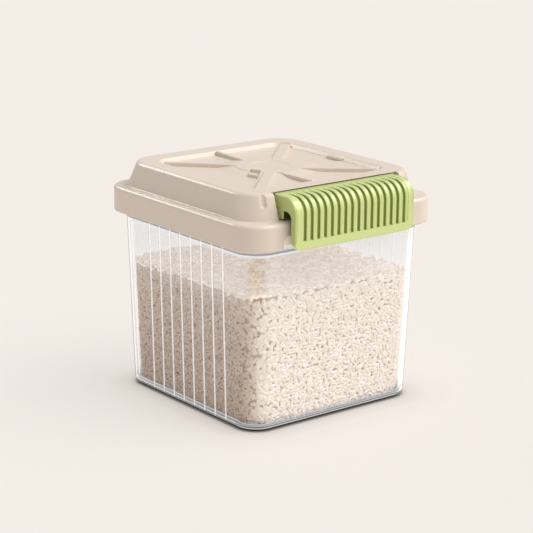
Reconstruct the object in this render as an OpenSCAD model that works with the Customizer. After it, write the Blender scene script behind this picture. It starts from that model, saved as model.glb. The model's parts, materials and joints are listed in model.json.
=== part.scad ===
// Rice bin with a flip lid: a clear tapered bin, a one-piece domed lid hinged at the back,
// and a ribbed latch across the front whose catch snaps under the bin's flange.
// The origin is under the middle of the bin's foot, +Z up, and the latch faces -Y.

/* [Bin] */
// Width of the foot, side to side
bin_w = 175; // [150:1:220]
// Depth of the foot, front to back
bin_d = 180; // [150:1:220]
// Height of the mouth above the ground
bin_h = 169.5; // [120:0.5:260]
// How far each wall leans out between foot and mouth
bin_flare = 4.8; // [3:0.2:7]
// Wall thickness
bin_wall = 2.4; // [1.8:0.1:3.5]
// Thickness of the floor
bin_floor = 4; // [2.5:0.5:7]
// Corner radius, seen from above
bin_corner = 21; // [15:0.5:30]
// Rounding where the walls meet the foot
foot_round = 5; // [3:0.5:8]
// Height of the step that the bin stands on
step_h = 1; // [0.6:0.1:2]
// How far the step sits in from the wall
step_in = 6; // [6:0.5:10]
// How far the flange under the mouth stands out from the wall
flange_out = 5; // [4:0.2:6]
// Thickness of the flange
flange_t = 2.6; // [2:0.1:3.5]
// Distance from the mouth down to the underside of the flange
flange_drop = 13.9; // [12:0.1:15]

/* [Side flutes] */
// Flutes on each side wall
flute_count = 8; // [4:1:10]
// Distance between flutes
flute_pitch = 14.5; // [10:0.5:15]
// Radius of a flute's round back
flute_r = 1.3; // [0.8:0.1:2]
// How far the row of flutes sits towards the front
flute_shift = 5.5; // [0:0.5:10]

/* [Lid rim] */
// Gap between the flange and the inside of the skirt
skirt_gap = 0.7; // [0.4:0.1:1.5]
// Wall thickness of the skirt
skirt_t = 2.4; // [2:0.1:3.5]
// How far the flange hangs below the skirt's edge
flange_show = 0.9; // [0.2:0.1:1.5]
// Corner radius of the rim
rim_corner = 24; // [18:1:32]
// Rounding of the rim's top edge
rim_round = 3.5; // [2:0.5:5]
// Rounding of the skirt's lower edge
skirt_round = 1.6; // [1:0.1:2]
// Thickness of the ledge
ledge_t = 2.4; // [2:0.1:3]
// Height of the arched pockets in the skirt beside the latch
arch_h = 11; // [8:0.5:12]
// Depth of those pockets
arch_deep = 1.2; // [0.6:0.1:1.6]
// How much higher the skirt's edge is behind the latch
arch_lift = 3.6; // [2:0.2:5]

/* [Lid dome] */
// Width of the ledge between the rim's edge and the dome's foot
ledge = 8; // [7:0.5:12]
// Height of the dome above the ledge
dome_h = 21; // [16:0.5:30]
// How far the dome's wall leans in over its height
dome_lean = 5.7; // [3:0.1:8]
// Corner radius of the dome
dome_corner = 27; // [24:1:34]
// Rounding of the dome's top edge
dome_round = 4.2; // [3:0.1:6]
// Thickness of the dome's wall and top
lid_t = 2.4; // [2:0.1:3.5]
// Fillet between dome and ledge
dome_fillet = 0.9; // [0.5:0.1:1]
// Radius of the finger dents on the front corners
dent_r = 3.4; // [2:0.2:4]

/* [Lid top] */
// Side of the square recess in the top
recess_side = 139; // [110:1:150]
// Depth of the recess
recess_deep = 3.6; // [2:0.1:5]
// Corner radius of the recess
recess_corner = 12; // [6:1:20]
// How far the recess's walls lean out
recess_lean = 2; // [1:0.5:4]
// Width of the two long bars across the recess
bar_w = 9.5; // [6:0.5:16]
// Width of the four thin spokes
spoke_w = 4; // [2:0.5:6]
// Radius of the hub in the middle
hub_r = 29; // [20:1:34]
// Radius of the round pocket in the hub
hub_pocket_r = 16.5; // [8:0.5:18]
// Depth of the round pocket
hub_pocket_deep = 1.2; // [0.6:0.1:2]
// How far hub and spokes stop short of the top ring
star_below = 0.5; // [0.2:0.1:1.5]

/* [Latch] */
// Length of the latch along the front
latch_w = 124; // [90:1:134]
// Thickness of the latch's body, rib to inside
latch_t = 6; // [5:0.2:7]
// How far the latch's face stands in front of the rim
latch_out = 9; // [8.5:0.1:12]
// Radius of the big bend over the shoulder
latch_bend = 14; // [10:0.5:17]
// Height of the latch's top below the dome's top
latch_sink = 1.2; // [0.5:0.1:3]
// Rounding of the latch's lower corners
latch_corner = 7; // [3:0.5:10]
// Grooves across the latch
groove_count = 16; // [8:1:16]
// Distance between grooves
groove_pitch = 6.9; // [5:0.1:7.3]
// Width of a groove
groove_w = 2.8; // [1.5:0.1:3.5]
// Depth of a groove
groove_deep = 2.6; // [1:0.1:3]
// Plain border under the grooves
groove_border = 7; // [5:0.5:12]
// Height of the catch rail
catch_t = 2; // [1.8:0.1:4]
// How far the catch reaches in under the flange
catch_bite = 2.4; // [1:0.1:3.5]
// Play between catch and flange
catch_play = 0.5; // [0.5:0.1:0.8]
// How far the pocket behind the latch is let into the dome
pocket_deep = 4; // [3:0.2:5]
// Room in that pocket at each end of the latch
pocket_side = 3.6; // [1:0.2:6]

/* [Pivots] */
// Radius of a latch pin
latch_pin_r = 1; // [0.8:0.1:1.2]
// Length of a latch pin
latch_pin_len = 16; // [10:0.5:20]
// Distance of each latch ear from its end of the latch
ear_inset = 26; // [18:1:28]
// Thickness of a latch ear
ear_t = 4; // [3:0.5:6]
// Radius of a rear hinge pin
hinge_pin_r = 1.5; // [1:0.1:2]
// Distance of each rear hinge from the middle
hinge_x = 56; // [35:1:66]
// Width of the lid's knuckle
knuckle_w = 12; // [8:1:20]
// Thickness of each hinge lug on the bin
lug_t = 5; // [3:0.5:7]
// Radius of lugs and knuckles
knuckle_r = 4.6; // [3.5:0.1:5]
// Side gap between lug and knuckle
knuckle_gap = 0.5; // [0.3:0.1:1]

/* [Seal] */
// Height of the silicone ring
seal_h = 3.1; // [2.4:0.1:4]
// Width of the silicone ring
seal_w = 6.4; // [5:0.1:7]
// Thickness of the walls that hold the ring
keeper_t = 1.5; // [1.2:0.1:1.6]
// How far the inner holding wall hangs into the mouth
keeper_deep = 2; // [1:0.2:2.2]

/* [Rice] */
// Height of the rice at the walls
rice_h = 110; // [40:1:140]
// How much higher the rice is in the middle
rice_mound = 1.5; // [1:0.5:8]

/* [Hidden] */
$fn = 64;
// facets of a rounded shell's corners, and of the rim's corners
shell_fn = 32;
rim_fn = 128;
// angle between the levels of a rounded foot, and levels of the dome's rounded edge
foot_step = 18;
dome_steps = 5;
// thickness of the thin plates that a rounded shell is stretched over
leaf = 0.02;
// clearances
pin_play = 0.05;
press_play = 0.02;
seat_play = 0.1;
soft_play = 0.3;
side_play = 0.4;
// how far one form is let into another, so that they join
bite = 0.5;
// how far a cut runs past the form it cuts, and the thin lap where two hollows meet
over = 1;
lap = 0.1;
least_corner = 1;

// bin
flange_z = bin_h - flange_drop;
flange_lean = bin_flare * flange_z / bin_h;
flange_w = bin_w + 2 * flange_lean + 2 * flange_out;
flange_d = bin_d + 2 * flange_lean + 2 * flange_out;
wall_angle = atan(bin_flare / bin_h);
flute_stop = 1;
flute_len = flange_z - foot_round - flute_stop;

// lid rim, ledge and seal
rim_w = flange_w + 2 * skirt_gap + 2 * skirt_t;
rim_d = flange_d + 2 * skirt_gap + 2 * skirt_t;
skirt_z = flange_z + flange_show;
under_ledge = bin_h + seat_play + seal_h;
ledge_z = under_ledge + ledge_t;
rim_h = ledge_z - skirt_z;
skirt_in_w = rim_w - 2 * skirt_t;
skirt_in_d = rim_d - 2 * skirt_t;
seal_mid_w = bin_w + 2 * bin_flare - bin_wall;
seal_mid_d = bin_d + 2 * bin_flare - bin_wall;
seal_mid_corner = bin_corner - bin_wall / 2;
keeper_lift = 1;

// lid dome and its top
dome_w = rim_w - 2 * ledge;
dome_d = rim_d - 2 * ledge;
dome_z = ledge_z + dome_h;
dome_angle = atan(dome_lean / dome_h);
recess_z = dome_z - recess_deep;
star_z = dome_z - star_below;

// latch pivot, in the pocket at the dome's front shoulder
pivot_drop = 5.8;
pivot_z = dome_z - pivot_drop;
wall_y = -dome_d / 2 + dome_lean * (pivot_z - ledge_z) / dome_h;
pivot_in = 2;
pivot_y = wall_y + pocket_deep - pivot_in;
skin_r = 6.6;
relief_r = skin_r + side_play;
pocket_w = latch_w + 2 * pocket_side;
ear_x = latch_w / 2 - ear_inset;
ear_r = 3.2;
ear_turn = 25;
ear_stem = [4.4, 6.4];

// latch: its section is drawn with Y to the right and Z up
latch_face = -rim_d / 2 - latch_out;
latch_top = dome_z - latch_sink;
catch_top = flange_z - catch_play;
latch_foot = catch_top - catch_t;
catch_tip = -flange_d / 2 + catch_bite;
catch_inset = 9;
bend_y = latch_face + latch_bend;
bend_z = latch_top - latch_bend;
inner_r = 6;
inner_y = latch_face + latch_t + inner_r;
inner_z = latch_top - latch_t * 2 - inner_r;
leg_play = 1.1;
leg_foot = ledge_z + leg_play;
leg_reach = 7.36;
leg_front = pivot_y - leg_reach;
leg_back = -dome_d / 2 + pocket_deep - side_play;
heel_in = 0.3;
heel_down = 7;
tip_out = 4.2;
tip_up = 5;
tip_down = 1;
tip_under = 0.8;
tip_slope = 3;
catch_slope = 2;
catch_nose = catch_t * 0.6;
groove_inner_r = latch_bend - groove_deep;
groove_stop = 4;
pin_end_play = 0.2;
window_play = 4;
window_w = latch_pin_len + window_play;
window_deep = 8.6;
window_h = 4.5;
window_down = 3;
ear_swing = 38;
ear_slot_deep = 3 * ear_r;
arch_side = 4.5;
arch_w = latch_w + 2 * arch_side;
arch_corner = 5;

// rear hinge
hinge_out = 3;
hinge_up = 1;
hinge_y = rim_d / 2 + hinge_out;
hinge_z = skirt_z + hinge_up;
lug_play = 0.6;
lug_top = skirt_z - lug_play;
lug_h = 16;
lug_foot_t = 4;
lug_bulge = 3;
knuckle_h = 13;
knuckle_turn = 37;
slot_up = 2;
lug_foot = flange_z - lug_h;
hinge_pin_len = knuckle_w + 2 * knuckle_gap + 2 * lug_t;
lug_mid = knuckle_w / 2 + knuckle_gap + lug_t / 2;

function wall_out(z) = bin_flare * z / bin_h;

// levels of the rounded foot of the bin, or of what fills it
function foot_levels(shrink, z_low, foot) =
  [for (a = [0 : foot_step : 90]) let(z = z_low + foot * (1 - sin(a)), in = foot * (1 - cos(a)))
    [z, shrink - wall_out(z) + in, shrink + in]];

// Rounded rectangle, centred
module slab_2d(w, d, r) {
  square([w - 2 * r, d], center = true);
  square([w, d - 2 * r], center = true);
  for (sx = [-1, 1])
    for (sy = [-1, 1])
      translate([sx * (w / 2 - r), sy * (d / 2 - r)])
        circle(r);
}

// Rounded slab standing on height z
module slab(w, d, r, z, h) {
  translate([0, 0, z])
    linear_extrude(h)
      slab_2d(w, d, r);
}

// Smooth shell over a stack of levels: [height, inset from w and d on each side]
module stacked(w, d, r, levels) {
  hull()
    for (level = levels)
      translate([0, 0, level[0] - leaf / 2])
        linear_extrude(leaf)
          slab_2d(w - 2 * level[1], d - 2 * level[1], max(least_corner, r - level[2]), $fn = shell_fn);
}

// Tapered tub: the bin's outside, or its inside when shrunk by the wall
module tub(shrink, z_low, z_high, foot) {
  stacked(bin_w, bin_d, bin_corner, concat(
    foot_levels(shrink, z_low, foot),
    [[z_high, shrink - wall_out(z_high), shrink]]));
}

// Upright flute laid against a leaning side wall
module flute(side, y) {
  translate([side * (bin_w / 2 + wall_out(foot_round)), y, foot_round])
    rotate([0, side * wall_angle, 0]) {
      cylinder(r = flute_r, h = flute_len);
      sphere(flute_r);
    }
}

// Hinge lug: a plate that rises from the back wall to the hinge line
module lug(x) {
  lug_back = bin_d / 2 + wall_out(lug_foot) - bin_wall / 2;
  translate([x - lug_t / 2, 0, 0])
    rotate([90, 0, 90])
      linear_extrude(lug_t) {
        translate([hinge_y, hinge_z])
          circle(knuckle_r);
        polygon([[lug_back, lug_foot], [lug_back + lug_foot_t, lug_foot],
                 [hinge_y + knuckle_r, hinge_z - lug_bulge],
                 [hinge_y + knuckle_r, hinge_z], [hinge_y - knuckle_r, hinge_z],
                 [hinge_y - knuckle_r, lug_top], [lug_back, lug_top]]);
      }
}

module hinge_bore(r, len) {
  translate([0, hinge_y, hinge_z])
    rotate([0, 90, 0])
      cylinder(r = r, h = len, center = true);
}

// Stiffening flange under the mouth, its edge parallel to the inside of the lid's skirt
module mouth_flange() {
  slab(flange_w, flange_d, rim_corner - skirt_t - skirt_gap, flange_z, flange_t);
}

module bin_body() {
  color([0.93, 0.95, 0.96, 0.35])
    difference() {
      union() {
        tub(0, step_h, bin_h, foot_round);
        mouth_flange();
        slab(bin_w - 2 * step_in, bin_d - 2 * step_in, bin_corner - step_in / 2, 0, step_h + over);
        for (side = [-1, 1])
          for (i = [0 : flute_count - 1])
            flute(side, (i - (flute_count - 1) / 2) * flute_pitch - flute_shift);
        for (side = [-1, 1])
          for (edge = [-1, 1])
            lug(side * hinge_x + edge * lug_mid);
      }
      tub(bin_wall, bin_floor, bin_h + over, foot_round - bin_wall / 2);
      for (side = [-1, 1])
        translate([side * hinge_x, 0, 0])
          hinge_bore(hinge_pin_r + press_play, hinge_pin_len + over);
    }
}

// One bar or spoke of the star, from inside the hub out to radius finish, moved sideways by shift
module star_run(turn, wide, shift, finish) {
  start = (hub_pocket_r + hub_r) / 2;
  rotate([0, 0, turn])
    translate([start, shift - wide / 2, recess_z - bite])
      cube([finish - start, wide, star_z - recess_z + bite]);
}

// The star in the recess: two broad bars, four thin spokes, a hub with a round pocket
module star() {
  wall_gap = 2;
  corner_gap = 5;
  far_gap = 2;
  near_gap = 4;
  reach = recess_side / 2 - wall_gap;
  corner_reach = reach * sqrt(2) - corner_gap;
  bar_shift = 3;
  far_shift = 3.5;
  near_shift = 9.3;
  hub_slope = 15;
  translate([0, 0, recess_z - bite])
    difference() {
      cylinder(r1 = hub_r + hub_slope, r2 = hub_r, h = star_z - recess_z + bite);
      translate([0, 0, star_z - recess_z + bite - hub_pocket_deep])
        cylinder(r = hub_pocket_r, h = recess_deep);
    }
  star_run(45, bar_w, -bar_shift, corner_reach);
  star_run(225, bar_w, bar_shift, corner_reach);
  star_run(135, spoke_w, far_shift, corner_reach - far_gap);
  star_run(90, spoke_w, far_shift, reach);
  star_run(320, spoke_w, -near_shift, corner_reach - near_gap);
  star_run(270, spoke_w, -near_shift, reach);
}

// Small four-sided pocket let into the hub's sloping edge
module hub_window() {
  corners = [[-23.4, -5.5], [-20.9, -13.3], [-32.9, -24.4], [-34.4, -17.4]];
  translate([0, 0, recess_z])
    linear_extrude(recess_deep)
      polygon(corners);
}

// Raised pad at the recess's right wall
module recess_pad() {
  pad_len = 18;
  pad_w = 10;
  pad_shift = 4;
  translate([recess_side / 2 + over - pad_w, -pad_len / 2 - pad_shift, recess_z - bite])
    cube([pad_w, pad_len, recess_deep + bite / 2]);
}

// The dome as a solid up to height top, shrunk on every side; its edge is rounded
module dome_solid(shrink, top) {
  wall_in = shrink + dome_lean * (top - dome_round - ledge_z) / dome_h;
  stacked(dome_w, dome_d, dome_corner, concat(
    [[ledge_z - lap, shrink, shrink]],
    [for (i = [0 : dome_steps])
      let(a = dome_angle + (90 - dome_angle) * i / dome_steps, in = dome_round * (1 - cos(a)))
        [top - dome_round * (1 - sin(a)), wall_in + in, shrink + in]]));
}

// Bar along X at the latch's pivot, over the latch's length
module pivot_bar(r, len) {
  translate([0, pivot_y, pivot_z])
    rotate([0, 90, 0])
      cylinder(r = r, h = len, center = true);
}

// Pocket in the dome's front wall for the latch's back leg, grown by wall on its closed sides
module latch_pocket(wall) {
  translate([-pocket_w / 2 - wall, 0, 0])
    rotate([90, 0, 90])
      linear_extrude(pocket_w + 2 * wall)
        polygon([[-dome_d / 2 - 2 * over, ledge_z - wall],
                 [-dome_d / 2 + pocket_deep + wall, ledge_z - wall],
                 [wall_y + pocket_deep + wall, pivot_z], [wall_y - 2 * over, pivot_z]]);
}

// The hollow under the dome; its wall stays thick round the recess and behind the latch
module dome_hollow() {
  under_side = recess_side + 2 * lid_t;
  difference() {
    dome_solid(lid_t, dome_z - lid_t);
    slab(under_side, under_side, recess_corner + lid_t, recess_z - lid_t, recess_deep + lid_t);
    pivot_bar(relief_r + lid_t, pocket_w + 2 * lid_t);
    latch_pocket(lid_t);
  }
}

// Section of the rim's edge, out to reach from the corner's centre line
module rim_section(reach) {
  translate([0, skirt_z])
    square([reach - skirt_round, rim_h - rim_round]);
  translate([0, skirt_z + skirt_round])
    square([reach - rim_round, rim_h - skirt_round]);
  translate([0, skirt_z + skirt_round])
    square([reach, rim_h - skirt_round - rim_round]);
  translate([reach - skirt_round, skirt_z + skirt_round])
    circle(skirt_round);
  translate([reach - rim_round, ledge_z - rim_round])
    circle(rim_round);
}

// Rim and skirt as a solid, with rounded top and bottom edges
module rim_solid() {
  corner_x = rim_w / 2 - rim_corner;
  corner_y = rim_d / 2 - rim_corner;
  for (sx = [-1, 1])
    for (sy = [-1, 1])
      translate([sx * corner_x, sy * corner_y, 0])
        rotate_extrude($fn = rim_fn)
          rim_section(rim_corner);
  for (turn = [0, 180])
    rotate([0, 0, turn]) {
      translate([-corner_x, 0, 0])
        rotate([90, 0, 90])
          linear_extrude(2 * corner_x)
            rim_section(rim_d / 2);
      translate([0, corner_y, 0])
        rotate([90, 0, 0])
          linear_extrude(2 * corner_y)
            rim_section(rim_w / 2);
    }
}

// Ear that carries the latch: a disc at the pivot on a stem from ledge and pocket
module latch_ear(x) {
  translate([x - ear_t / 2, 0, 0])
    rotate([90, 0, 90])
      linear_extrude(ear_t) {
        translate([pivot_y, pivot_z])
          circle(ear_r);
        polygon([[pivot_y - ear_r, pivot_z],
                 [pivot_y + ear_r * cos(ear_turn), pivot_z - ear_r * sin(ear_turn)],
                 [pivot_y + ear_stem[0], pivot_z - ear_stem[1]],
                 [-dome_d / 2 + pocket_deep + over, ledge_z - over], [pivot_y - ear_r, ledge_z - over]]);
      }
}

// Knuckle on the back of the skirt, between two lugs of the bin
module lid_knuckle() {
  translate([-knuckle_w / 2, 0, 0])
    rotate([90, 0, 90])
      linear_extrude(knuckle_w) {
        translate([hinge_y, hinge_z])
          circle(knuckle_r);
        polygon([[rim_d / 2 - over, skirt_z + skirt_round], [hinge_y, hinge_z],
                 [hinge_y + knuckle_r * cos(knuckle_turn), hinge_z + knuckle_r * sin(knuckle_turn)],
                 [rim_d / 2 - over, hinge_z + knuckle_h]]);
      }
}

// Slot in the skirt that leaves a lug of the bin room to turn past
module lug_slot(x) {
  slot_w = lug_t + 2 * knuckle_gap;
  slot_r = knuckle_r + lug_play;
  translate([x, hinge_y, hinge_z])
    rotate([0, 90, 0])
      cylinder(r = slot_r, h = slot_w, center = true);
  translate([x - slot_w / 2, skirt_in_d / 2 - over, skirt_z - over])
    cube([slot_w, hinge_y - skirt_in_d / 2, over + hinge_up + slot_up]);
}

// Flat arched pockets in the skirt's front, and the raised edge between them
module skirt_front() {
  translate([0, -rim_d / 2 + arch_deep, 0])
    rotate([90, 0, 0])
      linear_extrude(skirt_t * 2) {
        translate([-arch_w / 2, skirt_z - over])
          square([arch_w, arch_h - arch_corner + over]);
        translate([-arch_w / 2 + arch_corner, skirt_z])
          square([arch_w - 2 * arch_corner, arch_h]);
        for (side = [-1, 1])
          translate([side * (arch_w / 2 - arch_corner), skirt_z + arch_h - arch_corner])
            circle(arch_corner);
      }
  translate([-arch_w / 2, -rim_d / 2 - over, skirt_z - over])
    cube([arch_w, skirt_t + over + skirt_gap / 2, arch_lift + over]);
}

// Finger dent on a front corner of the dome
module corner_dent(side) {
  turn = 30;
  drop = 7.5;
  lean_there = 0.6;
  let_in = 0.4;
  inset = dome_corner + dome_lean * lean_there;
  translate([side * (dome_w / 2 - inset), -dome_d / 2 + inset, dome_z - drop])
    rotate([0, 0, side * turn])
      translate([0, -dome_corner - dent_r * let_in, 0]) {
        sphere(dent_r);
        cylinder(r = dent_r, h = dome_h);
      }
}

module lid() {
  fillet_in = 0.2;
  recess_rim = 0.5;
  skirt_cut = 5;
  color([0.88, 0.83, 0.77])
    difference() {
      union() {
        difference() {
          union() {
            rim_solid();
            dome_solid(0, dome_z);
            stacked(dome_w, dome_d, dome_corner, [[ledge_z, -dome_fillet, -dome_fillet],
                                                  [ledge_z + dome_fillet, fillet_in, 0]]);
          }
          // space inside the skirt, up to the ledge
          slab(skirt_in_w, skirt_in_d, rim_corner - skirt_t, skirt_z - skirt_cut,
               under_ledge - skirt_z + skirt_cut);
          // way through the ledge into the dome
          slab(seal_mid_w - seal_w - 2 * keeper_t, seal_mid_d - seal_w - 2 * keeper_t,
               bin_corner - bin_wall, under_ledge - over, ledge_t + over + lap / 2);
          dome_hollow();
          // recess in the top
          stacked(recess_side, recess_side, recess_corner, [[recess_z, recess_lean, recess_lean],
                                                            [dome_z + over, -recess_rim, -recess_rim]]);
        }
        star();
        recess_pad();
        seal_channel();
        for (side = [-1, 1]) {
          latch_ear(side * ear_x);
          translate([side * hinge_x, 0, 0])
            lid_knuckle();
        }
      }
      hub_window();
      skirt_front();
      for (side = [-1, 1])
        corner_dent(side);
      // room for the latch's back leg, and for its back edge to turn
      difference() {
        union() {
          pivot_bar(relief_r, pocket_w);
          latch_pocket(0);
        }
        for (side = [-1, 1])
          latch_ear(side * ear_x);
      }
      for (side = [-1, 1])
        for (edge = [-1, 1])
          lug_slot(side * hinge_x + edge * lug_mid);
      for (side = [-1, 1])
        translate([side * hinge_x, 0, 0])
          hinge_bore(hinge_pin_r + pin_play, knuckle_w + over);
      for (side = [-1, 1])
        translate([side * ear_x, 0, 0])
          pivot_bar(latch_pin_r + press_play, ear_t + over);
    }
}

// Ring of rectangular section, centred over the bin's mouth
module mouth_ring(inner, outer, z, h) {
  difference() {
    slab(seal_mid_w + outer, seal_mid_d + outer, seal_mid_corner + outer / 2, z, h);
    slab(seal_mid_w - inner, seal_mid_d - inner, seal_mid_corner - inner / 2, z - over, h + 2 * over);
  }
}

// The two walls under the ledge that hold the seal
module seal_channel() {
  gap = seal_w + seat_play;
  top = under_ledge + bite;
  inner_foot = bin_h - keeper_deep;
  outer_foot = bin_h + keeper_lift;
  mouth_ring(gap + 2 * keeper_t, -gap, inner_foot, top - inner_foot);
  mouth_ring(-gap, gap + 2 * keeper_t, outer_foot, top - outer_foot);
}

module lid_seal() {
  color([0.94, 0.94, 0.92])
    mouth_ring(seal_w, seal_w, bin_h + seat_play / 2, seal_h);
}

// Section of the latch in the Y-Z plane, without the catch
module latch_section() {
  difference() {
    union() {
      translate([bend_y, bend_z])
        intersection() {
          circle(latch_bend);
          translate([-latch_bend, 0])
            square(latch_bend);
        }
      translate([latch_face, latch_foot])
        square([latch_bend, bend_z - latch_foot]);
      // back leg and top skin, which ends in a thin edge over the dome's shoulder
      polygon([[bend_y - over, leg_foot], [leg_back, leg_foot],
               [pivot_y - heel_in, pivot_z - heel_down],
               [pivot_y + tip_out - tip_under, pivot_z - tip_down], [pivot_y + tip_out, pivot_z + tip_up],
               [pivot_y + tip_out - tip_slope, latch_top], [bend_y - over, latch_top]]);
    }
    // space between front leg and back leg
    intersection() {
      translate([inner_y, inner_z])
        circle(inner_r);
      translate([inner_y - inner_r, inner_z])
        square([leg_front - inner_y + inner_r, inner_r]);
    }
    translate([inner_y - inner_r, latch_foot - over])
      square([leg_front - inner_y + inner_r, inner_z - latch_foot + over]);
    translate([inner_y, inner_z - over])
      square([leg_front - inner_y, inner_r + over]);
  }
}

module catch_rail() {
  translate([-latch_w / 2 + catch_inset, 0, 0])
    rotate([90, 0, 90])
      linear_extrude(latch_w - 2 * catch_inset)
        polygon([[latch_face + latch_t - over, latch_foot], [catch_tip - catch_slope, latch_foot],
                 [catch_tip, catch_top - catch_nose], [catch_tip, catch_top],
                 [latch_face + latch_t - over, catch_top]]);
}

// One groove: the skin of the profile taken away over the groove's width
module groove(x) {
  translate([x - groove_w / 2, 0, 0])
    rotate([90, 0, 90])
      linear_extrude(groove_w)
        difference() {
          translate([latch_face - over, latch_foot + groove_border])
            square([pivot_y - groove_stop - latch_face + over, latch_top - latch_foot]);
          translate([bend_y, bend_z])
            circle(groove_inner_r);
          translate([latch_face + groove_deep, latch_foot])
            square([latch_bend, bend_z - latch_foot]);
          translate([bend_y, bend_z - latch_bend])
            square([latch_bend * 2, latch_bend + groove_inner_r]);
        }
}

// Space in the latch for one ear of the lid to turn in
module ear_slot(x) {
  translate([x - ear_t / 2 - side_play, 0, 0])
    rotate([90, 0, 90])
      linear_extrude(ear_t + 2 * side_play) {
        translate([pivot_y, pivot_z])
          circle(ear_r + side_play);
        translate([pivot_y - ear_r - side_play, leg_foot - over])
          square([ear_slot_deep, pivot_z - leg_foot + over]);
        translate([pivot_y, pivot_z])
          rotate(ear_swing)
            translate([0, -skin_r - over])
              square(skin_r + over);
      }
}

module latch() {
  color([0.72, 0.80, 0.45])
    difference() {
      union() {
        difference() {
          translate([-latch_w / 2, 0, 0])
            rotate([90, 0, 90])
              linear_extrude(latch_w)
                latch_section();
          // rounded lower corners
          for (side = [-1, 1])
            translate([side * (latch_w / 2 - latch_corner), 0, latch_foot + latch_corner])
              rotate([90, 0, 0])
                difference() {
                  translate([side > 0 ? 0 : -latch_corner * 2, -latch_corner * 2, 0])
                    cube([latch_corner * 2, latch_corner * 2, rim_d]);
                  cylinder(r = latch_corner, h = rim_d * 3, center = true);
                }
          for (i = [0 : groove_count - 1])
            groove((i - (groove_count - 1) / 2) * groove_pitch);
        }
        catch_rail();
      }
      for (side = [-1, 1])
        ear_slot(side * ear_x);
      // bores for the pins, which are slid outwards from a window in the middle
      pivot_bar(latch_pin_r + pin_play, 2 * ear_x + latch_pin_len + 2 * pin_end_play);
      translate([-window_w / 2, pivot_y - latch_pin_r - side_play, pivot_z - window_down])
        cube([window_w, window_deep, window_h]);
    }
}

// Straight steel pin along X with chamfered ends
module pin(x, y, z, r, len) {
  chamfer = r / 4;
  color([0.75, 0.76, 0.78])
    translate([x - len / 2, y, z])
      rotate([0, 90, 0])
        rotate_extrude()
          polygon([[0, 0], [r - chamfer, 0], [r, chamfer], [r, len - chamfer], [r - chamfer, len], [0, len]]);
}

module latch_pin_left() {
  pin(-ear_x, pivot_y, pivot_z, latch_pin_r, latch_pin_len);
}

module latch_pin_right() {
  pin(ear_x, pivot_y, pivot_z, latch_pin_r, latch_pin_len);
}

module hinge_pin_left() {
  pin(-hinge_x, hinge_y, hinge_z, hinge_pin_r, hinge_pin_len);
}

module hinge_pin_right() {
  pin(hinge_x, hinge_y, hinge_z, hinge_pin_r, hinge_pin_len);
}

module rice() {
  shrink = bin_wall + soft_play;
  z_low = bin_floor + soft_play;
  brow = 21;
  crown = 49;
  brow_share = 0.6;
  color([0.95, 0.92, 0.86])
    stacked(bin_w, bin_d, bin_corner, concat(
      foot_levels(shrink, z_low, foot_round - bin_wall / 2),
      [[rice_h, shrink - wall_out(rice_h), shrink],
       [rice_h + rice_mound * brow_share, shrink + brow, shrink],
       [rice_h + rice_mound, shrink + crown, shrink]]));
}

bin_body();
lid();
lid_seal();
latch();
latch_pin_left();
latch_pin_right();
hinge_pin_left();
hinge_pin_right();
rice();
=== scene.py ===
import json
import math

import bmesh
import bpy
import numpy as np
from mathutils import Matrix, Vector


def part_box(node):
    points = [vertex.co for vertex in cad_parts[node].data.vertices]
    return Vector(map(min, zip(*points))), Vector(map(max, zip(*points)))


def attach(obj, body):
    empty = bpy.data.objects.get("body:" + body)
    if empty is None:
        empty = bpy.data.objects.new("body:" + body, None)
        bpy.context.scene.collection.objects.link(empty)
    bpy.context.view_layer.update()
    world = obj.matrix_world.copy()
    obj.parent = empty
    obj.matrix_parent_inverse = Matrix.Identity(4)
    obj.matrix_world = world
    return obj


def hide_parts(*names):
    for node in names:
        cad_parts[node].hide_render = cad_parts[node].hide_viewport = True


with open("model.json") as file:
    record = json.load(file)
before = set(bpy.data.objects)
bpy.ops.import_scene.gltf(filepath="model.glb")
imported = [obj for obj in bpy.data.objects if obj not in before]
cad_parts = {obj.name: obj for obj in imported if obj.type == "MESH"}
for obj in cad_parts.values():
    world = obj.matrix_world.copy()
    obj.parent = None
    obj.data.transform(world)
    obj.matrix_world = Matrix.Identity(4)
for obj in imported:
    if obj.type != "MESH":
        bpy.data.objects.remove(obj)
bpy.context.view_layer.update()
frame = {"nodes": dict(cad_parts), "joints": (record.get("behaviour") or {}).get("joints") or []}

# Dresses the rice bin: a clear ribbed tub full of rice, a beige lid that flips up, a green ribbed latch.
# Everything is in metres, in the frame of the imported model: +Z up, the latch towards -Y.
mm = 0.001
cornerSteps = 12        # facets of each rounded corner seen from above

binLow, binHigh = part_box("bin_body")
lidLow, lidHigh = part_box("lid")
latchLow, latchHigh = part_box("latch")
jointAt = {joint["name"]: Vector(joint["pos_m"]) for joint in frame["joints"]}
hingeAt = jointAt["lid_hinge"]
pivotAt = jointAt["latch_pivot"]


def letGo():
    if bpy.context.mode != "OBJECT":
        bpy.ops.object.mode_set(mode="OBJECT")
    bpy.ops.object.select_all(action="DESELECT")


def hold(piece):
    letGo()
    piece.select_set(True)
    bpy.context.view_layer.objects.active = piece


def settle(piece):
    # the place goes into the mesh, the object stays at the origin
    hold(piece)
    bpy.ops.object.transform_apply(location=True, rotation=True, scale=True)


def pick(kind, test):
    # selects points, edges or faces by place and direction, in edit mode
    bpy.ops.mesh.select_mode(type=kind)
    bpy.ops.mesh.select_all(action="DESELECT")
    mesh = bmesh.from_edit_mesh(bpy.context.edit_object.data)
    if kind == "VERT":
        for point in mesh.verts:
            point.select_set(test(point.co))
    elif kind == "EDGE":
        for edge in mesh.edges:
            first, last = (point.co for point in edge.verts)
            edge.select_set(test((first + last) / 2, last - first))
    else:
        for face in mesh.faces:
            face.select_set(test(face.calc_center_median(), face.normal))
    mesh.select_flush_mode()
    bmesh.update_edit_mesh(bpy.context.edit_object.data)


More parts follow.
